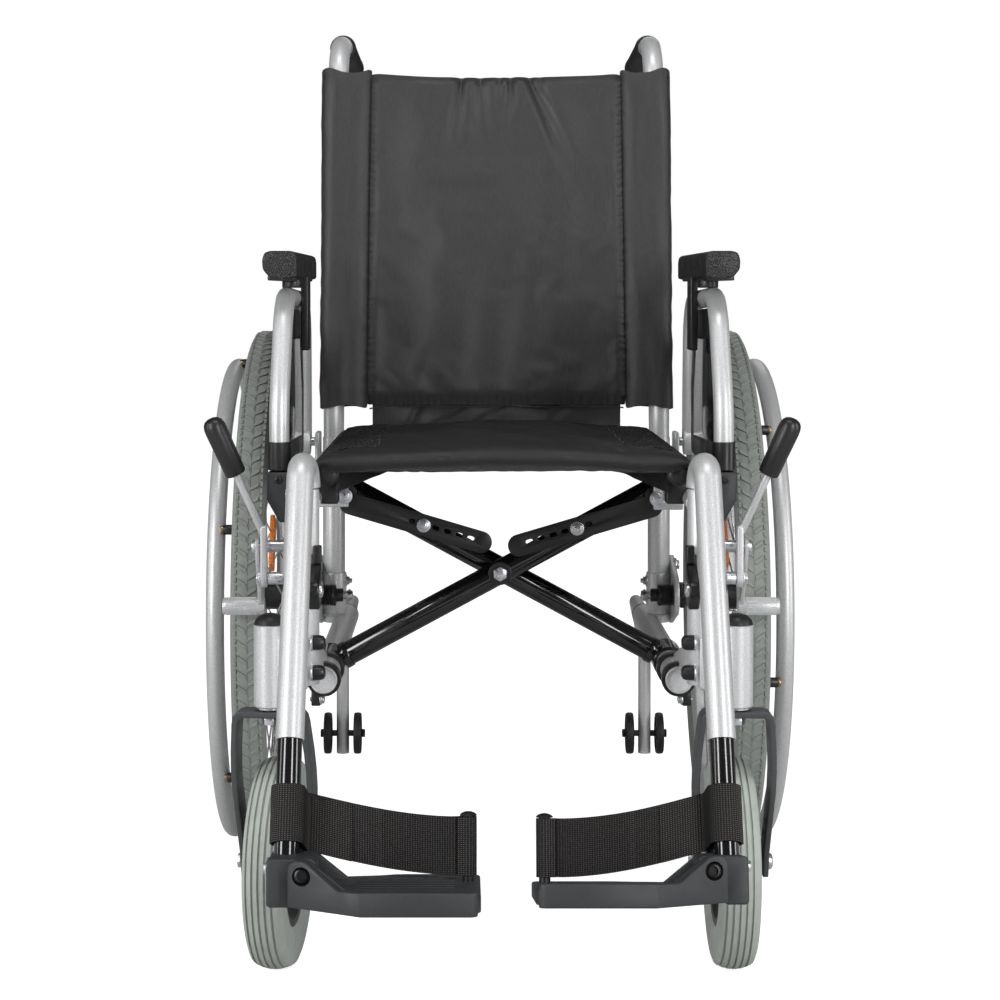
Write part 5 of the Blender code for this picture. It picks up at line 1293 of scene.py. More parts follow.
def make_leg_rest(name, s):
    """One hanger with its latch, extension tube and clamp."""
    body = "hanger_" + name
    post = Vector((s * POST_X, POST_Y, 0.4609))
    corner = Vector((s * (POST_X + 0.003), POST_Y, 0.4536 + (POST_Y + 0.3005) / 0.46))
    line = bent([post, corner, slope_point(s, 0.25)], 0.0195, 14)
    leg = pipe(line, 0.0127, 7)
    low, high = slope_point(s, 0.25), slope_point(s, 0.345)
    along = (low - high).normalized()
    bore = bar(high - along * 0.044, low + along * 0.02, 0.0115, 32, 0)
    leg = drilled(leg, bore)
    spigot = bar(post - Vector((0, 0, 0.034)), post + Vector((0, 0, 0.006)), 0.0079, 28, 0.001)
    y = slope_point(s, 0.37).y
    lug = block((s * 0.18, y + 0.004, 0.362), (s * 0.1955, y + 0.0455, 0.378), 0.002, 3)
    held([leg, spigot, lug], "hanger_tube_" + name, "silver_paint", body, "silver_paint", "hanger_" + name)

    pin = [
        bar((s * 0.186, y + 0.036, 0.37), (s * 0.1722, y + 0.036, 0.37), 0.003, 20),
        cap_screw((s * 0.169, y + 0.036, 0.37), (-s, 0, 0), 0.0062, 0.0028)
    ]
    held(pin, "hanger_pin_" + name, "zinc_plate", body, "steel")

    pin_y = y + 0.036
    rear = POST_Y - 0.0155
    outline = arc((pin_y, 0.37), 0.01, 115, 245, 12)
    outline += [
        (pin_y + 0.004, 0.352), (rear - 0.003, 0.354), (rear, 0.358), (rear, 0.398), (rear - 0.003, 0.401),
        (rear - 0.007, 0.4), (rear - 0.0085, 0.392), (pin_y + 0.01, 0.382)
    ]
    lever = slab(outline, 0.01, in_yz(s * 0.1745), 0.0016, 3)
    lever = drilled(lever, bar((s * 0.165, pin_y, 0.37), (s * 0.185, pin_y, 0.37), 0.0033, 20, 0))
    tab = block((s * 0.169, rear - 0.012, 0.392), (s * 0.177, rear - 0.001, 0.409), 0.0016, 3)
    lever = joined([lever, tab])
    disc = turned(
        [(0.0001, 0), (0.007, 0), (0.0074, 0.0005), (0.007, 0.0016), (0.0001, 0.002)],
        (s * 0.1695, pin_y + 0.018, 0.37), (-s, 0, 0), 28
    )
    held(disc, "latch_disc_" + name, "zinc_plate", "hanger_latch_" + name, "steel")
    held(
        lever, "latch_lever_" + name, "satin_black", "hanger_latch_" + name, "black_plastic",
        "hanger_latch_" + name
    )

    low, high = slope_point(s, 0.141), slope_point(s, 0.345)
    slide = bar(low, high, 0.011, 40, 0.0012)
    held(
        slide, "extension_tube_" + name, "gloss_black", "footrest_" + name, "gloss_black",
        "footrest_tube_" + name
    )

    place = tilted(s)
    lip_turn = math.degrees(math.acos(0.011 / 0.016))
    outline = arc((0, 0), 0.016, 180 + lip_turn, 270, 8)
    outline += [(0.01, -0.016), (0.0108, -0.0268), (0.013, -0.0284), (0.0285, -0.0284), (0.031, -0.0262)]
    outline += [(0.031, 0.0098), (0.0285, 0.012), (-0.008, 0.012), (-0.011, 0.0095)]
    clamp = slab([(s * a, b) for a, b in outline], 0.056, in_xz(0), 0.0018, 3)
    hole = bar((0, -0.05, 0), (0, 0.05, 0), 0.0043, 24, 0)
    clamp = drilled(clamp, hole)
    clamp.data.transform(place)
    pinch = joined(
        [
            cap_screw((s * 0.0312, -0.016, 0.003), (s, 0, 0), 0.005, 0.003),
            cap_screw((s * 0.0312, 0.016, 0.003), (s, 0, 0), 0.005, 0.003)
        ]
    )
    pinch.data.transform(place)
    held(clamp, "extension_clamp_" + name, "grey_plastic", "footrest_" + name, "gloss_black")
    held(pinch, "clamp_screws_" + name, "zinc_plate", "footrest_" + name, "steel")


class ChairLegRests(bpy.types.Operator):
    """Bends the swing-away hangers and slides the black extensions into them."""

    bl_idname = "chair.leg_rests"
    bl_label = "Leg rests"

    def execute(self, context):
        for name, s in SIDES:
            make_leg_rest(name, s)
        return {"FINISHED"}


def tilted(s):
    """The footplate's tilt about its hinge screw, front edge up."""
    return Matrix.Translation((s * HINGE.x, HINGE.y, HINGE.z)) @ Matrix.Rotation(-TILT[s], 4, "X")


def make_footplate(name, s):
    """One footplate with its ear, heel post and hinge screw."""
    place = tilted(s)
    hinge_x = s * HINGE.x
    front = -0.075 / math.cos(TILT[s])
    inner = s * 0.0225 - hinge_x
    outer = s * 0.0085
    corner = Vector((s * 0.0125, -0.0388, 0))
    bend = Vector((s * -0.051, front, 0))
    outline = [
        (inner, front + 0.01), (inner + s * 0.003, front + 0.003), (inner + s * 0.01, front + 0.0006),
        (bend.x, front + 0.001), (corner.x - s * 0.003, corner.y + 0.004), (outer, corner.y + 0.006),
        (outer, 0.038), (outer - s * 0.07, 0.052), (outer - s * 0.084, 0.0585), (outer - s * 0.092, 0.06),
        (inner + s * 0.008, 0.06), (inner + s * 0.0025, 0.0575), (inner, 0.052)
    ]
    deck = slab(outline, 0.014, in_xy(-0.0195), 0.0022, 4)
    lip = [
        (inner + s * 0.0026, front + 0.0125), (inner + s * 0.0026, front + 0.0055),
        (inner + s * 0.0044, front + 0.0018), (inner + s * 0.0085, front + 0.0002),
        (bend.x, front + 0.0002), (bend.x + s * 0.0035, front + 0.0024),
        (bend.x + s * 0.003, front + 0.009), (inner + s * 0.014, front + 0.007),
        (inner + s * 0.01, front + 0.0125)
    ]
    lip = slab(lip, 0.02, in_xy(-0.019), 0.0016, 3)

    along, up = (bend - corner).normalized(), Vector((0, 0, 1))
    lie = Matrix((along, up, along.cross(up))).transposed().to_4x4()
    lie.translation = corner + up.cross(along) * -s * 0.0042
    reach = (bend - corner).length
    face = [
        (0.0, -0.0262), (0.0, 0.0062), (0.0025, 0.0104), (0.0075, 0.0126), (0.015, 0.0126),
        (0.0195, 0.0108), (0.048, -0.0082), (0.052, -0.0094), (reach, -0.0092), (reach, -0.029)
    ]
    room = 0.0283
    shapes = [lip, slab(face, 0.0084, lie, 0.0014, 3)]
    for y in (-room - 0.008, room):
        web = [
            (s * 0.012, -0.025), (s * 0.012, 0.0062), (s * 0.0095, 0.0104), (s * 0.005, 0.0122),
            (s * -0.003, 0.0122), (s * -0.008, 0.0104), (s * -0.035, -0.011), (s * -0.04, -0.015),
            (s * -0.04, -0.023)
        ]
        shapes.append(slab(web, 0.008, in_xz(y + 0.004), 0.0014, 3))
    deck = welded(deck, *shapes)
    gap = block((s * -0.0163, -room, -0.0163), (s * 0.05, room, 0.05), 0)
    bore = bar((0, -0.05, 0), (0, 0.05, 0), 0.0043, 24, 0)
    recess = bar((0, -0.07, 0), (0, -0.0372, 0), 0.008, 28, 0)
    deck = drilled(deck, gap, bore, recess)
    ribs = []
    for row in range(7):
        at = -0.05 + row * 0.013
        ribs.append(
            block((inner + s * 0.022, at, -0.0128), (outer - s * 0.052, at + 0.0035, -0.0119), 0.0004)
        )
    deck = joined([deck, *ribs])
    deck.data.transform(place)
    held(
        deck, "footplate_deck_" + name, "grey_plastic", "footplate_" + name, "grey_plastic",
        "footplate_" + name
    )

    post_x = s * 0.033 - hinge_x
    post = turned(
        [
            (0.0001, 0.047), (0.003, 0.0466), (0.0058, 0.0455), (0.0074, 0.044), (0.0072, 0.0431),
            (0.005, 0.0428), (0.005, -0.013), (0.0072, -0.0138), (0.0072, -0.0152), (0.0001, -0.0155)
        ],
        (post_x, 0.019, 0), (0, 0, 1), 28
    )
    post.data.transform(place)
    held(post, "heel_post_" + name, "satin_black", "footplate_" + name, "black_plastic")

    screw = bar((0, -0.0368, 0), (0, 0.0386, 0), 0.004, 20, 0.0004)
    head = cap_screw((0, -0.0368, 0), (0, -1, 0), 0.0072, 0.005)
    for item in (screw, head):
        item.data.transform(place)
    held(
        screw, "hinge_screw_" + name, "bright_steel", "footplate_pin_" + name, "steel",
        "footplate_pin_" + name
    )
    held(head, "hinge_head_" + name, "satin_black", "footplate_pin_" + name, "steel")


class ChairFootplates(bpy.types.Operator):
    """Moulds the flip-up footplates on their hinge screws."""

    bl_idname = "chair.footplates"
    bl_label = "Footplates"

    def execute(self, context):
        for name, s in SIDES:
            make_footplate(name, s)
        return {"FINISHED"}


def make_armrest(name, s):
    """One armrest: arch, skirt panel, pad, stem and front socket."""
    body = "armrest_" + name
    x = s * 0.219
    corners = [
        Vector((x, -0.1425, 0.4705)), Vector((x, -0.1425, 0.53)), Vector((x - s * 0.001, -0.0905, 0.64)),
        Vector((x - s * 0.001, 0.1715, 0.634)), Vector((x, 0.1935, 0.475))
    ]
    line = bent(corners[:3], 0.1, 6)[:-1] + bent(
        corners[1:4], 0.062, 10
    )[1:-1] + bent(corners[2:], 0.055, 10)[1:]
    arch = pipe(line, 0.01, 7)
    eye = bar((x - 0.0085, 0.1935, 0.475), (x + 0.0085, 0.1935, 0.475), 0.015, 36, 0.0012)
    arch = welded(arch, eye)
    arch = drilled(arch, bar((x - 0.02, 0.1935, 0.475), (x + 0.02, 0.1935, 0.475), 0.0053, 24, 0))
    held(arch, "arm_arch_" + name, "silver_paint", body, "silver_paint", "armrest_frame_" + name)

    front, rear = -0.1325 + 0.0003, 0.1932 - 0.02
    outline = [
        (front, 0.478), (front + 0.004, 0.52), (front + 0.014, 0.548), (front + 0.041, 0.611),
        (front + 0.055, 0.6225), (front + 0.075, 0.6285), (rear - 0.06, 0.6245), (rear - 0.046, 0.616),
        (rear - 0.034, 0.6), (rear - 0.01, 0.54), (rear - 0.012, 0.472), (rear - 0.018, 0.4655),
        (rear - 0.1, 0.462), (front + 0.012, 0.467)
    ]
    panel = slab(outline, 0.0058, in_yz(x), 0.0018, 3)
    inset = [
        (front + 0.03, 0.49), (front + 0.034, 0.53), (front + 0.062, 0.598), (rear - 0.072, 0.596),
        (rear - 0.04, 0.535), (rear - 0.042, 0.484)
    ]
    for way in (-1, 1):
        bed = slab(inset, 0.0016, in_yz(x + way * 0.0029), 0)
        panel = drilled(panel, softened(bed, 0.0008, 2))
    held(panel, "skirt_panel_" + name, "black_plastic", body, "black_plastic", "armrest_panel_" + name)

    gloss = []
    smaller = [(a + (0.024 - a) * 0.045, b + (0.54 - b) * 0.045) for a, b in inset]
    for way in (-1, 1):
        gloss.append(slab(smaller, 0.0009, in_yz(x + way * 0.0026), 0.0003))
    held(gloss, "skirt_window_" + name, "gloss_black", body, "gloss_black")

    sleeve = turned(
        [
            (0.0102, 0.4688), (0.011, 0.4688), (0.0114, 0.4692), (0.0114, 0.4962), (0.011, 0.4966),
            (0.0102, 0.4966), (0.0102, 0.4688)
        ],
        (x, -0.1425, 0), (0, 0, 1), 36
    )
    held(sleeve, "arm_sleeve_" + name, "satin_black", body, "black_plastic")

    pad_body = "armrest_pad_" + name
    section = [
        (0.2027, 0.6585), (0.22, 0.656), (0.231, 0.659), (0.2372, 0.6665), (0.2378, 0.676), (0.2355, 0.683),
        (0.23, 0.685), (0.2085, 0.685), (0.204, 0.6828), (0.2027, 0.6775)
    ]
    lie = Matrix(((s, 0, 0, 0), (0, 0, 1, 0.0295), (0, 1, 0, 0), (0, 0, 0, 1)))
    pad = slab(section, 0.2998, lie, 0)
    modified(pad, "BEVEL", width=0.0042, segments=4, limit_method="ANGLE", angle_limit=math.radians(12))
    held(pad, "arm_pad_" + name, "arm_pad_vinyl", pad_body, "black_vinyl", "armrest_pad_" + name)

    tray = block((s * 0.206, -0.1, 0.6555), (s * 0.234, 0.16, 0.6605), 0.0012, 2)
    stem = block((s * 0.2006, 0.0117, 0.5825), (s * 0.2086, 0.0473, 0.66), 0.0015, 3)
    neck = bar((s * 0.2125, -0.052, 0.6482), (s * 0.2125, -0.052, 0.657), 0.0105, 28, 0.0008)
    held([tray, stem, neck], "pad_stem_" + name, "satin_black", pad_body, "black_plastic")

    socket_body = "frame_" + name
    shape = [
        (x - s * 0.0114, 0.4674), (x - s * 0.0114, 0.4182), (x - s * 0.001, 0.4182), (x + s * 0.0114, 0.44),
        (x + s * 0.0114, 0.4674)
    ]
    cup = slab(shape, 0.0288, in_xz(-0.1425), 0.0022, 3)
    cup = drilled(cup, bar((x, -0.1425, 0.436), (x, -0.1425, 0.48), 0.0102, 36, 0))
    arm = block((s * 0.1964, -0.1543, 0.4335), (s * 0.209, -0.1307, 0.4565), 0.002, 3)
    held(
        [cup, arm], "arm_cup_" + name, "grey_plastic", socket_body, "grey_plastic", "armrest_socket_" + name
    )
    screw = cap_screw((x, -0.1568, 0.46), (0, -1, 0), 0.0038, 0.003)
    held(screw, "arm_cup_screw_" + name, "satin_black", socket_body, "black_plastic")


class ChairArmrests(bpy.types.Operator):
    """Arches the flip-back armrests over their skirt panels, under grained pads."""

    bl_idname = "chair.armrests"
    bl_label = "Armrests"

    def execute(self, context):
        for name, s in SIDES:
            make_armrest(name, s)
        return {"FINISHED"}


def make_brake(name, s):
    """One brake: bracket, lever, grip, links and knurled shoe."""
    frame_body = "frame_" + name
    y, z = -0.1685, 0.365
    outline = [
        (-0.1845, 0.3475), (-0.182, 0.345), (-0.153, 0.345), (-0.1505, 0.3475), (-0.1505, 0.407),
        (-0.1565, 0.425), (-0.1565, 0.453), (-0.1825, 0.453), (-0.1845, 0.43)
    ]
    sheet = slab(outline, 0.0049, in_yz(s * 0.2045), 0.001, 2)
    pad = block((s * 0.1966, -0.1785, 0.4392), (s * 0.203, -0.1565, 0.4508), 0.001, 2)
    held(
        [sheet, pad], "brake_sheet_" + name, "silver_paint", frame_body, "silver_paint",
        "brake_bracket_" + name
    )
    pins = [
        bar((s * 0.204, y, z), (s * 0.2348, y, z), 0.004, 20, 0),
        hex_head((s * 0.2352, y, z), (s, 0, 0), 0.0115, 0.0042, 0.0085),
        bar((s * 0.204, -0.1585, 0.395), (s * 0.2413, -0.1585, 0.395), 0.004, 20, 0),
        cap_screw((s * 0.2417, -0.1585, 0.395), (s, 0, 0), 0.0068, 0.0035),
        bar((s * 0.2068, y, z), (s * 0.2284, y, z), 0.0062, 24, 0.0005),
        bar((s * 0.2068, -0.1585, 0.395), (s * 0.2371, -0.1585, 0.395), 0.006, 24, 0.0005)
    ]
    for up in (0.433, 0.4475):
        pins.append(hex_head((s * 0.207, -0.1695, up), (s, 0, 0), 0.009, 0.0038))
    held(pins, "brake_pins_" + name, "zinc_plate", frame_body, "steel")

    lever_body = "brake_lever_" + name
    outline = arc((y, z), 0.009, 180, 360, 14)
    outline += [
        (y + 0.0075, z + 0.02), (y + 0.001, z + 0.05), (y - 0.001, z + 0.052), (y - 0.008, z + 0.052),
        (y - 0.01, z + 0.05)
    ]
    flat = slab(outline, 0.0062, in_yz(s * 0.2319), 0.0012, 3)
    flat = drilled(flat, bar((s * 0.225, y, z), (s * 0.24, y, z), 0.0043, 20, 0))
    foot = Vector((s * 0.233, y - 0.0045, 0.411))
    centre = Vector((s * 0.269, y - 0.018, 0.494))
    lean = (centre - foot).normalized()
    shaft = bar(foot, centre, 0.004, 24, 0.0004)
    held(
        [flat, shaft], "lever_rod_" + name, "silver_paint", lever_body, "silver_paint",
        "brake_lever_" + name
    )
    grip = turned(
        [
            (0.0001, -0.0296), (0.0078, -0.0296), (0.0094, -0.0288), (0.0102, -0.0268), (0.0109, 0.018),
            (0.0106, 0.0226), (0.0094, 0.0266), (0.0072, 0.0293), (0.004, 0.0307), (0.0001, 0.0311)
        ],
        centre, lean, 40
    )
    held(grip, "lever_grip_" + name, "satin_black", lever_body, "black_plastic")

    shoe_body = "brake_shoe_" + name
    pivot_y, pivot_z, shoe_z = -0.1585, 0.395, 0.331
    bar_y = AXLE.y - math.sqrt(0.09 - (shoe_z - AXLE.z) ** 2) - 0.021
    outline = arc((pivot_y, pivot_z), 0.008, 0, 180, 14) + [(bar_y - 0.007, shoe_z), (bar_y + 0.007, shoe_z)]
    arm = slab(outline, 0.004, in_yz(s * 0.2395), 0.0006, 2)
    arm = drilled(arm, bar((s * 0.23, pivot_y, pivot_z), (s * 0.25, pivot_y, pivot_z), 0.0043, 20, 0))
    held(arm, "shoe_arm_" + name, "silver_paint", shoe_body, "silver_paint", "brake_shoe_" + name)

    steps = 26
    core = bar((s * 0.2357, bar_y, shoe_z), (s * 0.2773, bar_y, shoe_z), 0.0086, 40, 0.0006)
    tooth = bar((s * 0.244, bar_y, shoe_z + 0.0083), (s * 0.2455, bar_y, shoe_z + 0.0083), 0.0007, 4, 0)
    rows = []
    for row in range(16):
        for n in range(steps):
            slide = Matrix.Translation((s * 0.0019 * row, 0, 0))
            turn = spun((0, bar_y, shoe_z), (1, 0, 0), 2 * math.pi / steps * (n + 0.5 * (row % 2)))
            rows.append(turn @ slide)
    knurl = repeated(tooth, rows)
    held([core, knurl], "shoe_bar_" + name, "silver_paint", shoe_body, "steel")


class ChairBrakes(bpy.types.Operator):
    """Hangs the push-to-lock brakes with their levers, grips and knurled shoes."""

    bl_idname = "chair.brakes"
    bl_label = "Brakes"

    def execute(self, context):
        for name, s in SIDES:
            make_brake(name, s)
        return {"FINISHED"}


def make_anti_tipper(name, s):
    """One anti-tip tube with its pair of small wheels."""
    inner = Vector((s * RAIL_X, 0.2625, RAIL_Z))
    drop_y = 0.4995
    corners = [
        inner, Vector((s * RAIL_X, drop_y - 0.03, RAIL_Z)), Vector((s * 0.191, drop_y, RAIL_Z - 0.06)),
        Vector((s * 0.191, drop_y, 0.06))
    ]
    line = bent(corners[:3], 0.045, 8)[:-1] + bent(corners[1:], 0.04, 6)[1:]
    leg = pipe(line, 0.008, 6)
    held(
        leg, "tipper_tube_" + name, "silver_paint", "anti_tip_" + name, "silver_paint",
        "anti_tip_tube_" + name
    )
    collar = turned(
        [
            (0.0082, 0), (0.0128, 0), (0.0134, 0.0008), (0.0134, 0.006), (0.01, 0.0075), (0.0082, 0.0075),
            (0.0082, 0)
        ],
        (s * RAIL_X, 0.3198, RAIL_Z), (0, 1, 0), 32
    )
    held(collar, "tipper_collar_" + name, "satin_black", "anti_tip_" + name, "black_plastic")

    centre = Vector((s * 0.191, drop_y, 0.085))
    wheels, screws = [], []
    for way in (-1, 1):
        tyre = turned(
            [
                (0.0042, 0.014), (0.0075, 0.014), (0.0085, 0.016), (0.0195, 0.016), (0.0215, 0.0142),
                (0.0245, 0.0142), (0.0257, 0.0155), (0.026, 0.0175), (0.026, 0.02), (0.0257, 0.022),
                (0.0245, 0.0233), (0.0215, 0.0233), (0.0195, 0.0212), (0.0085, 0.0212), (0.0078, 0.0236),
                (0.0042, 0.0236), (0.0042, 0.014)
            ],
            centre, (way, 0, 0), 48
        )
        wheels.append(tyre)
        screws.append(hex_head(centre + Vector((way * 0.0236, 0, 0)), (way, 0, 0), 0.0095, 0.0045))
    screws.append(bar(centre - Vector((0.0236, 0, 0)), centre + Vector((0.0236, 0, 0)), 0.0039, 20, 0))
    held(
        wheels, "tipper_wheels_" + name, "black_rubber", "anti_tip_wheels_" + name, "black_plastic",
        "anti_tip_wheels_" + name
    )
    held(screws, "tipper_spindle_" + name, "satin_black", "anti_tip_wheels_" + name, "steel")


class ChairAntiTippers(bpy.types.Operator):
    """Plugs the anti-tip tubes and their small twin wheels into the lower rails."""

    bl_idname = "chair.anti_tippers"
    bl_label = "Anti-tippers"

    def execute(self, context):
        for name, s in SIDES:
            make_anti_tipper(name, s)
        return {"FINISHED"}


def smooth_line(points, count):
    """Even steps along a smooth curve through a few points."""
    points = [Vector(point) for point in points]
    fine = []
    for index in range(len(points) - 1):
        before = points[max(0, index - 1)]
        first, last = points[index], points[index + 1]
        after = points[min(len(points) - 1, index + 2)]
        for step in range(12):
            t = step / 12
            fine.append(
                0.5
                * (
                    2 * first + (last - before) * t + (2 * before - 5 * first + 4 * last - after) * t * t
                    + (3 * first - before - 3 * last + after) * t * t * t
                )
            )
    fine.append(points[-1])
    reach = [0]
    for first, last in zip(fine, fine[1:]):
        reach.append(reach[-1] + (last - first).length)
    even, at = [], 0
    for step in range(count + 1):
        goal = reach[-1] * step / count
        while at < len(fine) - 2 and reach[at + 1] < goal:
            at += 1
        share = (goal - reach[at]) / max(1e-9, reach[at + 1] - reach[at])
        even.append(fine[at].lerp(fine[at + 1], share))
    return even, reach[-1]


def cloth(columns, rows, size, place):
    """A flat grid laid out as cloth, with a UV map in metres."""
    bpy.ops.mesh.primitive_grid_add(
        x_subdivisions=columns, y_subdivisions=rows, size=1, location=(0.5, 0.5, 0)
    )
    item = fixed(bpy.context.active_object)
    layer = item.data.uv_layers.active
    layer.name = "cloth"
    for corner in layer.uv:
        corner.vector = (corner.vector.x * size[0], corner.vector.y * size[1])
    for vertex in item.data.vertices:
        vertex.co = place(vertex.co.x, vertex.co.y)
    return item


def settled(item, columns, rows, pinned, growth, gravity, frames=18):
    """Lets a slightly oversized cloth settle between its pinned seams."""
    select_only(item)
    group = item.vertex_groups.new(name="seams")
    for vertex in item.data.vertices:
        u = (vertex.index % (columns + 1)) / columns
        v = (vertex.index // (columns + 1)) / rows
        weight = pinned(u, v)
        if weight:
            group.add([vertex.index], weight, "REPLACE")
    step = item.modifiers.new("settle", "CLOTH")
    settings = step.settings
    settings.quality = 6
    settings.mass = 0.25
    settings.tension_stiffness = settings.compression_stiffness = 20
    settings.shear_stiffness = 8
    settings.bending_stiffness = 0.6
    settings.vertex_group_mass = "seams"
    settings.shrink_min = -growth
    settings.effector_weights.gravity = gravity
    step.point_cache.frame_start, step.point_cache.frame_end = 1, frames
    for number in range(1, frames + 1):
        bpy.context.scene.frame_set(number)
    bpy.ops.object.modifier_apply(modifier=step.name)
    bpy.context.scene.frame_set(1)
    return item


def crease(across, width):
    """A pinched fold: a sharp valley between two soft shoulders."""
    share = across / width
    return math.exp(-share * share) - 0.55 * math.exp(-((abs(share) - 1.9) ** 2))


def thickened(item, thickness, levels=1):
    """Rounds a cloth's grid and gives it its thickness, behind its face."""
    if levels:
        modified(item, "SUBSURF", levels=levels, render_levels=levels, boundary_smooth="ALL")
    modified(item, "SOLIDIFY", thickness=thickness, offset=0, use_rim=True)
    return tidy(item)


def back_point(x, ahead, high):
    """A point of the back: across, before the canes' line, and up along them."""
    return Vector((x, UPRIGHT_Y, 0.5)) + BACK_FACE * ahead + BACK_UP * high


def back_seam(v):
    """Half the back's width between its seams, narrowing upwards."""
    return 0.1487 - 0.0042 * v


def stitched(places, direction, length, width):
    """A row of stitches, each a small rounded thread lying along the seam."""
    stitch = bar(-direction * length / 2, direction * length / 2, width, 6, width * 0.5)
    return repeated(stitch, [Matrix.Translation(place) for place in places])


class ChairBack(bpy.types.Operator):
    """Hangs the padded nylon back between the canes, with its sleeves and lower flap."""

    bl_idname = "chair.back"
    bl_label = "Back sling"

    def execute(self, context):
        wrinkle = context.scene.chair_sizes.wrinkle / 0.004
        columns, rows = 72, 96

        def panel(u, v):
            half = back_seam(v) - 0.0006
            x = (2 * u - 1) * half
            inset = half - abs(x)
            ahead = 0.014 - 0.0095 * (1 - (x / half) ** 2) * (0.55 + 0.45 * v)
            ahead -= 0.006 * math.exp(-((inset / 0.0042) ** 2))
            high = 0.0145 + (BACK_SIZE - 0.0035) * v
            top, low = 1 - v, v
            ahead -= 0.005 * math.exp(-((top * BACK_SIZE / 0.0048) ** 2))
            ahead -= 0.0085 * math.exp(-((low * BACK_SIZE / 0.0085) ** 2))
            high -= 0.003 * (1 - (x / half) ** 2) * v
            for at, reach, lean, depth in BACK_GATHERS:
                down = top * BACK_SIZE
                fade = math.exp(-down / reach) * min(1, down / 0.004)
                slant = at + lean * down
                ahead -= wrinkle * depth * (0.0075 * fade * crease(x - slant, 0.003 + 0.05 * down))
                ahead -= wrinkle * depth * 0.0022 * math.exp(-down / 0.11) * crease(
                    x - slant, 0.008 + 0.04 * down
                )
            edge = min(1, inset / 0.02)
            ahead += wrinkle * 0.003 * edge * noise.noise((x * 26, high * 3.0, 3.7))
            ahead += wrinkle * 0.002 * edge * noise.noise((x * 9 + high * 4, high * 7.0, 8.1))
            return back_point(x, ahead, high)

        def seams(u, v):
            inset = min(u, 1 - u) * columns
            return 1.0 if inset < 1.5 or v * rows < 3.5 or (1 - v) * rows < 2.5 else 0.0

        size = (0.2985, BACK_SIZE)
        sheet = settled(cloth(columns, rows, size, panel), columns, rows, seams, 0.0025, 0.0)
        modified(sheet, "SUBSURF", levels=1, render_levels=1, boundary_smooth="ALL")
        for vertex in sheet.data.vertices:
            x, high = vertex.co.x, (vertex.co.z - 0.5) / BACK_UP.z
            inset = back_seam(high / BACK_SIZE) - abs(x)
            phase = high / 0.0085 + 1.5 * noise.noise((0, high * 40, x))
            pucker = math.sin(math.tau * phase) * math.exp(-((inset / 0.0065) ** 2))
            low = high - 0.0155
            ruffle = math.sin(math.tau * (x / 0.0078 + noise.noise((x * 50, 2, 0))))
            ruffle *= math.exp(-(((low - 0.003) / 0.005) ** 2))
            vertex.co += BACK_FACE * wrinkle * (0.001 * pucker + 0.0011 * ruffle)
        thickened(sheet, 0.0022, 0)
        held(sheet, "back_panel", "sling_nylon", "frame_right", "black_nylon", "back_sling", angle=70)
        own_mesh(sheet)

        made = []
        for name, s in SIDES:
            profile = [
                (0.0, 0.0062), (0.0036, 0.0106), (0.0115, 0.0136), (0.024, 0.0146), (0.037, 0.0151),
                (0.0435, 0.0128), (0.0474, 0.0062), (0.048, -0.003), (0.0448, -0.0108), (0.0375, -0.0136),
                (0.0265, -0.0112), (0.013, -0.001), (0.001, 0.0058)
            ]
            line, around = smooth_line([(a * 1.105, b, 0) for a, b in profile], 44)

            def sleeve(u, v, s=s, line=line):
                place = line[round(u * 44)]
                out, ahead = place.x * (1 + 0.079 * v), place.y
                front = max(0.0, min(1.0, (ahead + 0.004) / 0.012))
                high = 0.015 + (BACK_SIZE - 0.0022) * v
                ear = 0.0045 * math.exp(
                    -(((out - 0.002) / 0.008) ** 2)
                ) + 0.0062 * math.exp(-(((out - 0.05) / 0.012) ** 2))
                high += (ear - 0.001) * max(0.0, (v - 0.9) / 0.1) ** 2 * front
                high -= 0.0038 * max(0.0, (0.06 - v) / 0.06) ** 2 * (
                    0.5 + math.exp(-(((out - 0.046) / 0.012) ** 2)) + 0.8 * math.exp(-((out / 0.01) ** 2))
                )
                swell = 1.008 + 0.018 * noise.noise(
                    (s * 3, v * 9, out * 14)
                ) + 0.014 * noise.noise((s, v * 30, out * 30))
                pull = math.exp(-(((1 - v) / 0.022) ** 2)) + 0.8 * math.exp(-((v / 0.03) ** 2))
                pull_in = 0.0022 * pull * front
                seam_out = out + 0.0006 * noise.noise((v * 24, s * 5, 1)) * (out > 0.04)
                fold = 0.0009 * noise.noise((out * 90, v * 6, s * 2)) * front
                return back_point(
                    s * (back_seam(v) + seam_out * swell), ahead * swell - pull_in + fold, high
                )

            part = cloth(44, 60, (around, BACK_SIZE), sleeve)
            modified(part, "SUBSURF", levels=1, render_levels=1, boundary_smooth="ALL")
            for vertex in part.data.vertices:
                high = (vertex.co.z - 0.5) / BACK_UP.z
                inset = abs(vertex.co.x) - back_seam(high / BACK_SIZE)
                phase = high / 0.0085 + 1.5 * noise.noise((0, high * 40, vertex.co.x))
                vertex.co += BACK_FACE * wrinkle * 0.0011 * math.sin(math.tau * phase) * math.exp(
                    -((inset / 0.006) ** 2)
                )
            thickened(part, 0.0016, 0)
            held(part, "back_sleeve_" + name, "sling_nylon", "frame_right", "black_nylon", angle=70)
            made.append(part)

            tab = block((s * 0.1983, -0.0105, 0.349), (s * 0.2002, 0.0105, 0.397), 0.0007)
            turn = Matrix((Vector((1, 0, 0)), -BACK_FACE, BACK_UP)).transposed().to_4x4()
            tab.data.transform(Matrix.Translation((0, UPRIGHT_Y, 0.5)) @ turn)
            made.append(held(tab, "back_tab_" + name, "loop_tape", "frame_right", "black_nylon"))

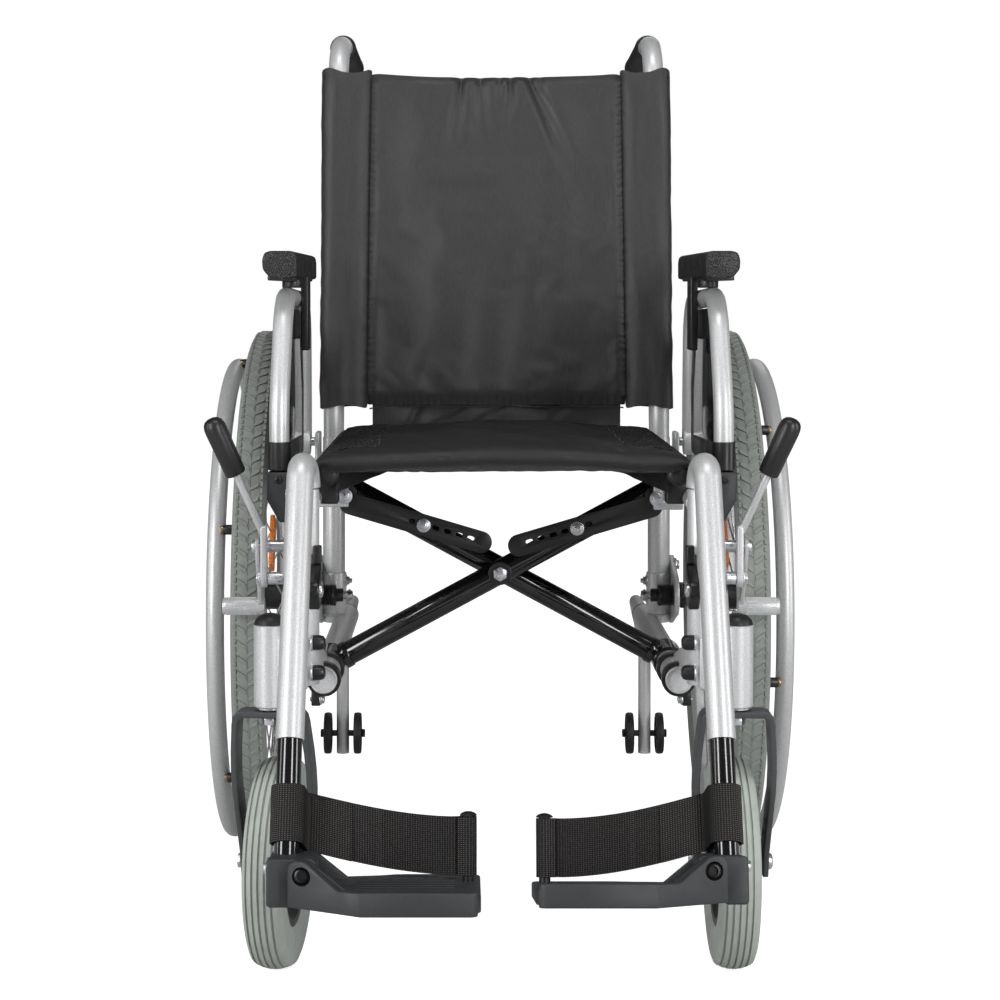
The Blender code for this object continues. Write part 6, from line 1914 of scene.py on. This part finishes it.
            stitches, step, pitch = [], 0.02, context.scene.chair_sizes.stitch
            while step < BACK_SIZE - 0.01:
                stitches.append(back_point(s * back_seam(step / BACK_SIZE), 0.0078, step))
                step += pitch
            seam = stitched(stitches, BACK_UP, pitch * 0.62, 0.0004)
            made.append(held(seam, "back_stitches_" + name, "thread", "frame_right", "black_nylon"))

        def flap(u, v):
            x = (2 * u - 1) * 0.1425
            high = -0.0105 + 0.03 * v
            slack = 1 - v
            ahead = 0.0022 + 0.003 * v - 0.0035 * (1 - (x / 0.1425) ** 2)
            for at, lean, depth in (
                (-0.094, 0.5, 0.9), (-0.052, 1.5, 0.8), (-0.008, 1.6, 0.9), (0.071, 0.9, 0.3)
            ):
                ahead -= 0.004 * depth * math.exp(
                    -(((x - at - lean * (high - 0.004)) / 0.006) ** 2)
                ) * (0.35 + slack)
            ahead += 0.0036 * noise.noise((x * 22, high * 40, 5))
            return back_point(x, ahead - 0.004, high)

        lower = thickened(cloth(110, 14, (0.285, 0.03), flap), 0.0008)
        held(lower, "back_flap", "sling_nylon", "frame_right", "black_nylon", angle=70)
        made.append(lower)

        def edge_x(step):
            return (2 * step / 60 - 1) * 0.146

        hem = []
        for step in range(61):
            x = edge_x(step)
            inner = abs(x) < 0.15
            ahead = 0.005 - 0.0085 * (1 - (x / 0.15) ** 2) * 0.55 if inner else 0.011
            high = 0.0125 if inner else 0.0118
            high += 0.0012 * noise.noise((x * 30, 1, 4)) - 0.0026 * math.exp(
                -(((abs(x) - 0.15) / 0.012) ** 2)
            )
            hem.append(back_point(x, ahead - 0.0014, high))
        cord = pipe(hem, 0.0009, 3)
        made.append(held(cord, "back_hem", "hem_binding", "frame_right", "black_nylon", angle=60))
        for part in made:
            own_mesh(part)
        return {"FINISHED"}


def seat_height(x):
    """The crowned top of the seat."""
    share = min(1.0, abs(x) / 0.158)
    return 0.4907 + 0.0072 * (1 - share * share) ** 1.3


class ChairSeat(bpy.types.Operator):
    """Stretches the crowned seat between its rails, with its rolled front and loop tapes."""

    bl_idname = "chair.seat"
    bl_label = "Seat sling"

    def execute(self, context):
        fold = ("cross_right", "cross_left", (0.166, 0, 0.472), (-0.166, 0, 0.472))
        columns, rows = 96, 92
        wrinkle = context.scene.chair_sizes.wrinkle / 0.004
        wrap = [(x, z, 0) for x, z in SEAT_PROFILE]
        middle = [
            (0.158 - 0.158 * step / 8, seat_height(0.158 - 0.158 * step / 8), 0) for step in range(1, 9)
        ]
        half, reach = smooth_line(wrap + middle, columns // 2)
        across = [Vector((point.x, point.y, 0)) for point in half]
        across += [Vector((-point.x, point.y, 0)) for point in reversed(half[:-1])]
        section = [
            (SEAT_REAR - 0.005, -0.0105), (SEAT_REAR - 0.0006, -0.0075), (SEAT_REAR - 0.0002, -0.003),
            (SEAT_REAR - 0.004, -0.0004), (0.15, 0.0), (0.05, 0.0), (-0.08, 0.0), (-0.18, 0.0),
            (SEAT_FRONT + 0.01, 0.0), (SEAT_FRONT - 0.001, -0.0016), (SEAT_FRONT - 0.0068, -0.0062),
            (SEAT_FRONT - 0.0082, -0.0102), (SEAT_FRONT - 0.006, -0.0146), (SEAT_FRONT - 0.003, -0.0162),
            (SEAT_FRONT - 0.0048, -0.0178), (SEAT_FRONT - 0.0056, -0.021), (SEAT_FRONT - 0.0056, -0.027)
        ]
        down, length = smooth_line([(y, z, 0) for y, z in section], rows)

        def seat(u, v):
            side, along = across[round(u * columns)], down[round(v * rows)]
            x, y, z = side.x, along.x, side.y
            drop = along.y
            flat = max(0.0, 1 - (x / 0.178) ** 2)
            if drop < 0:
                front = y < 0
                limit = (0.015 + 0.008 * flat) if front else 0.0105
                scale = (0.84 + 0.12 * flat) if drop > -0.0165 else 1
                drop = max(drop * scale, -limit if front else -0.0105)
                if drop < -0.0165:
                    drop = -0.0165 - (-drop - 0.0165) * flat
            rail = max(0.0, (abs(x) - 0.16) / 0.018)
            z += drop * (1 - 0.75 * min(1, rail))
            y_shift = 0.0
            if v > 0.9:
                y_shift = 0.001 * noise.noise(
                    (x * 60, v * 10, 3)
                ) + 0.001 * noise.noise((x * 150, v * 6, 6)) * flat
            top = 1 if drop == 0 else 0.5
            calm = min(1.0, max(0.0, (0.17 - abs(x)) / 0.03))
            lift = 0.002 * noise.noise((x * 14, y * 5, 1.3)) + 0.0009 * noise.noise((x * 38, y * 12, 7))
            near = math.exp(-(((y - SEAT_FRONT) / 0.03) ** 2))
            lift += 0.001 * near * noise.noise((x * 90, y * 30, 4))
            lift += 0.0022 * math.exp(-(((y - 0.14) / 0.035) ** 2)) * crease(
                x + 0.03 - (y - 0.14) * 1.2, 0.012
            )
            return Vector(
                (x, y + y_shift - 0.001 * flat * (drop < -0.002) * near, z + lift * wrinkle * calm * top)
            )

        def held_edges(u, v):
            inset = min(u, 1 - u) * columns
            return 1.0 if inset < 7.5 or v * rows < 4.5 or v > 0.925 else 0.0

        size = (2 * reach, length)
        sheet = settled(cloth(columns, rows, size, seat), columns, rows, held_edges, 0.006, 0.0)
        modified(sheet, "SUBSURF", levels=1, render_levels=1, boundary_smooth="ALL")

        for name, s in SIDES:
            tape = copied(sheet, Matrix.Identity(4))
            edit(tape)
            bpy.ops.mesh.select_all(action="DESELECT")
            bpy.ops.mesh.select_mode(type="FACE")
            leave()
            for face in tape.data.polygons:
                x, y = s * face.center.x, face.center.y
                ragged = 0.0014 * noise.noise((face.center.y * 60, s, 0))
                face.select = not (0.1225 + ragged < x < 0.169 and -0.203 < y < 0.18)
            bpy.ops.object.mode_set(mode="EDIT")
            bpy.ops.mesh.delete(type="FACE")
            tape = leave()
            for vertex in tape.data.vertices:
                fuzz = noise.noise(vertex.co * 420) + 0.6 * noise.noise(vertex.co * 900)
                vertex.co.z += 0.0017 + 0.0005 * fuzz
            modified(tape, "SOLIDIFY", thickness=0.0012, offset=0, use_rim=True)
            tape = held(tidy(tape), "seat_tape_" + name, "loop_tape", fold, "black_nylon", angle=80)

            outline = [(s * 0.1222, -0.204), (s * 0.1222, 0.1805)]
            line, _ = smooth_line([(x, y, 0) for x, y in outline], 60)
            places = []
            for point in line:
                _, place, normal, _ = sheet.closest_point_on_mesh((point.x, point.y, seat_height(point.x)))
                places.append(place + normal * (0.0011 if normal.z > 0 else -0.0011))
            edge_cord = pipe(places, 0.0008, 2)
            held(edge_cord, "seat_tape_edge_" + name, "brown_thread", fold, "black_nylon", angle=60)

        for name, s in SIDES:

            def skirt(u, v, s=s):
                x = 0.16 - 0.072 * u
                fall = 0.004 + 0.02 * (1 - u) ** 1.4 + 0.0012 * noise.noise((u * 6, s, 2))
                return Vector(
                    (s * x, -0.205 - 0.004 * math.sin(3.1 * u) * v, 0.4745 + 0.008 * u - fall * v)
                )

            under = thickened(cloth(24, 6, (0.072, 0.024), skirt), 0.0012)
            # The seat's skirts take the darkened nylon copy, which is painted shade.
            held(under, "seat_skirt_" + name, "seat_nylon_shaded", fold, "black_nylon", angle=70)

        # The seat cloth takes the darkened nylon copy, which is painted shade.
        thickened(sheet, 0.0022, 0)
        held(sheet, "seat_cloth", "seat_nylon_shaded", fold, "black_nylon", "seat_sling", angle=70)
        return {"FINISHED"}


def make_heel_strap(name, s):
    """One heel strap, from its loop on the tube to the footplate's post."""
    place = tilted(s)
    root = place @ Vector((s * 0.033 - s * HINGE.x, 0.019, 0.0175))
    post_up = place.to_3x3() @ Vector((0, 0, 1))
    ring = slope_point(s, 0.19)
    ring_up = (slope_point(s, 1) - slope_point(s, 0)).normalized()
    out = Vector((s, 0, 0))
    ring_back = out.cross(ring_up) * s
    post_back = out.cross(post_up) * s
    if ring_back.y < 0:
        ring_back, post_back = -ring_back, -post_back
    path = [(root + out * 0.009 - post_back * 0.003, post_up, "post")]
    for step in range(15):
        angle = math.radians(-62 - 17 * step)
        path.append((root + (out * math.cos(angle) + post_back * math.sin(angle)) * 0.0062, post_up, "post"))
    path.append((root + out * 0.0092 + post_back * 0.0002, post_up, "post"))
    first = path[-1][0]
    last = ring + ring_back * 0.0138 - out * 0.006
    for step in range(1, 26):
        share = step / 26
        middle = first.lerp(last, share) + post_back * 0.0105 * math.sin(math.pi * share)
        dip = -0.006 * math.sin(math.pi * share ** 0.85)
        middle += Vector((0, 0, dip))
        path.append((middle, post_up.lerp(ring_up, share * share), "near" if share < 0.5 else "far"))
    for step in range(21):
        angle = math.radians(90 - 13.8 * step)
        path.append((ring + (out * math.cos(angle) + ring_back * math.sin(angle)) * 0.0138, ring_up, "loop"))
    band = [point for point, _, part in path if part == "far"]
    band.reverse()
    for step, spot in enumerate(band[1:9]):
        near = spot - post_back * 0.0024
        path.append((near, ring_up.lerp(post_up, step / 16), "loop"))
    pieces = {
        "post": ("footplate_" + name, None), "near": ("footplate_pin_" + name, "footplate_" + name),
        "far": ("footrest_" + name, "footplate_pin_" + name), "loop": ("footrest_" + name, None)
    }
    made, rib = [], STRAP_THICKNESS
    for part, (body, other) in pieces.items():
        chosen = [index for index, item in enumerate(path) if item[2] == part]
        first_index = max(0, chosen[0] - (1 if part in ("near", "far") else 0))
        last_index = min(len(path) - 1, chosen[-1] + 1)
        run = path[first_index : last_index + 1]
        line = [item[0] for item in run]
        reach = sum((b - a).length for a, b in zip(line, line[1:]))
        count = 4 * round(reach / rib)
        fine, _ = smooth_line(line, count)

        def strap(u, v, run=run, count=count, fine=fine):
            at = min(count, max(0, round(u * count)))
            share = u * (len(run) - 1)
            first_up = run[int(share)][1]
            up = first_up.lerp(run[min(len(run) - 1, int(share) + 1)][1], share % 1).normalized()
            return fine[at] + up * (v - 0.5) * STRAP_WIDTH

        item = cloth(count, 8, (reach, STRAP_WIDTH), strap)
        group = item.vertex_groups.new(name="ribs")
        for vertex in item.data.vertices:
            group.add([vertex.index], (0.5, 1, 0.5, 0)[vertex.index % (count + 1) % 4], "REPLACE")
        modified(
            item, "SOLIDIFY", thickness=STRAP_THICKNESS, offset=0, use_rim=True, vertex_group="ribs",
            thickness_vertex_group=0.5
        )
        item = tidy(item)
        ride = (body, other, line[-1], line[0]) if other else body
        held(item, "heel_strap_" + part + "_" + name, "webbing", ride, "webbing", angle=70)
        made.append(item)
    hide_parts("heel_strap_" + name)


class ChairHeelStraps(bpy.types.Operator):
    """Threads the webbing heel straps from the extension tubes round the footplates' posts."""

    bl_idname = "chair.heel_straps"
    bl_label = "Heel straps"

    def execute(self, context):
        for name, s in SIDES:
            make_heel_strap(name, s)
        return {"FINISHED"}


def plain_floor(name, colour):
    """A floor or backdrop that the camera sees as white where no shadow falls."""
    made = bpy.data.materials.new(name)
    made.use_nodes = True
    nodes, links = made.node_tree.nodes, made.node_tree.links
    shader = nodes["Principled BSDF"]
    shader.inputs["Base Color"].default_value = (*colour, 1)
    shader.inputs["Roughness"].default_value = 0.9
    shader.inputs["Specular IOR Level"].default_value = 0.0
    shader.inputs["Emission Color"].default_value = (1, 1, 1, 1)
    path = nodes.new("ShaderNodeLightPath")
    where = nodes.new("ShaderNodeTexCoord")
    away = nodes.new("ShaderNodeVectorMath")
    away.operation = "LENGTH"
    links.new(where.outputs["Object"], away.inputs[0])
    lift = nodes.new("ShaderNodeMapRange")
    lift.interpolation_type = "SMOOTHSTEP"
    for key, value in zip(("From Min", "From Max", "To Min", "To Max"), (0.5, 1.6, FLOOR_LIFT, 1.0)):
        lift.inputs[key].default_value = value
    links.new(away.outputs["Value"], lift.inputs["Value"])
    share = nodes.new("ShaderNodeMath")
    share.operation = "MULTIPLY"
    links.new(path.outputs["Is Camera Ray"], share.inputs[0])
    links.new(lift.outputs["Result"], share.inputs[1])
    links.new(share.outputs["Value"], shader.inputs["Emission Strength"])
    return made


class ChairStage(bpy.types.Operator):
    """Sets the pale floor, the soft lamps and the camera in front of the chair."""

    bl_idname = "chair.stage"
    bl_label = "Studio"

    def execute(self, context):
        scene = context.scene
        scene.view_settings.view_transform = "Standard"
        bpy.ops.mesh.primitive_circle_add(vertices=96, radius=9, fill_type="NGON", location=(0, 0, -0.0005))
        floor = fixed(context.active_object)
        floor.name = floor.data.name = "studio_floor"
        floor.data.materials.append(plain_floor("floor_white", context.scene.chair_colours.floor))

        world = bpy.data.worlds.new("studio_world")
        scene.world = world
        world.use_nodes = True
        nodes, links = world.node_tree.nodes, world.node_tree.links
        nodes.clear()
        path = nodes.new("ShaderNodeLightPath")
        ambient = nodes.new("ShaderNodeBackground")
        ambient.inputs["Color"].default_value = (1, 1, 1, 1)
        ambient.inputs["Strength"].default_value = 0.1
        white = nodes.new("ShaderNodeBackground")
        white.inputs["Color"].default_value = (1, 1, 1, 1)
        white.inputs["Strength"].default_value = 1.0
        mix = nodes.new("ShaderNodeMixShader")
        out = nodes.new("ShaderNodeOutputWorld")
        links.new(path.outputs["Is Camera Ray"], mix.inputs["Fac"])
        links.new(ambient.outputs["Background"], mix.inputs[1])
        links.new(white.outputs["Background"], mix.inputs[2])
        links.new(mix.outputs["Shader"], out.inputs["Surface"])

        lamps = (
            ("key_lamp", (-2.0, -2.1, 1.25), 0.62, 2.2, 46),
            ("fill_lamp", (1.45, -2.6, 1.25), 0.52, 2.2, 43), ("side_lamp", (2.6, -0.7, 1.0), 0.5, 1.8, 20),
            ("left_lamp", (-2.6, -0.6, 1.0), 0.5, 1.8, 10), ("top_lamp", (0.0, -1.0, 2.9), 1.5, 0.6, 20),
            ("back_lamp", (0.4, 3.0, 2.0), 1.4, 1.4, 5)
        )
        for name, place, wide, tall, power in lamps:
            bpy.ops.object.light_add(type="AREA", location=place)
            lamp = context.active_object
            lamp.name = lamp.data.name = name
            lamp.data.shape = "RECTANGLE"
            lamp.data.size = wide
            lamp.data.size_y = tall
            lamp.data.energy = power
            aim = Vector((0, 0, 0.45)) - Vector(place)
            lamp.rotation_euler = aim.to_track_quat("-Z", "Y").to_euler()

        bpy.ops.object.camera_add(location=CAMERA_PLACE, rotation=(math.radians(90) - CAMERA_PITCH, 0, 0))
        camera = context.active_object
        camera.name = camera.data.name = "photo_camera"
        camera.data.sensor_width = 36
        camera.data.lens = CAMERA_LENS
        camera.data.shift_x, camera.data.shift_y = CAMERA_SHIFT
        camera.data.clip_end = 50
        scene.camera = camera
        return {"FINISHED"}


STEPS = (
    ChairFinishes, ChairFrames, ChairCanes, ChairBrace, ChairLinks, ChairTyres, ChairWheels, ChairPushRings,
    ChairAxles, ChairCasters, ChairLegRests, ChairFootplates, ChairArmrests, ChairBrakes, ChairAntiTippers,
    ChairBack, ChairSeat, ChairHeelStraps, ChairStage
)


class ChairPanel(bpy.types.Panel):
    """Lists the chair's sizes, colours and pieces."""

    bl_idname = "VIEW3D_PT_chair"
    bl_label = "Folding Wheelchair"
    bl_space_type = "VIEW_3D"
    bl_region_type = "UI"
    bl_category = "Wheelchair"

    def draw(self, context):
        layout = self.layout
        for group in (context.scene.chair_sizes, context.scene.chair_colours):
            for key in group.__annotations__:
                layout.prop(group, key)
        for step in STEPS:
            layout.operator(step.bl_idname)


CLASSES = (ChairSizes, ChairColours, *STEPS, ChairPanel)


def register():
    """Adds the classes and the scene's settings."""
    for item in CLASSES:
        bpy.utils.register_class(item)
    bpy.types.Scene.chair_sizes = bpy.props.PointerProperty(type=ChairSizes)
    bpy.types.Scene.chair_colours = bpy.props.PointerProperty(type=ChairColours)


def unregister():
    """Takes the settings and classes away again."""
    del bpy.types.Scene.chair_sizes
    del bpy.types.Scene.chair_colours
    for item in reversed(CLASSES):
        bpy.utils.unregister_class(item)


def main():
    """Runs each step in order."""
    register()
    for step in STEPS:
        group, name = step.bl_idname.split(".")
        getattr(getattr(bpy.ops, group), name)()


if __name__ == "__main__":
    main()
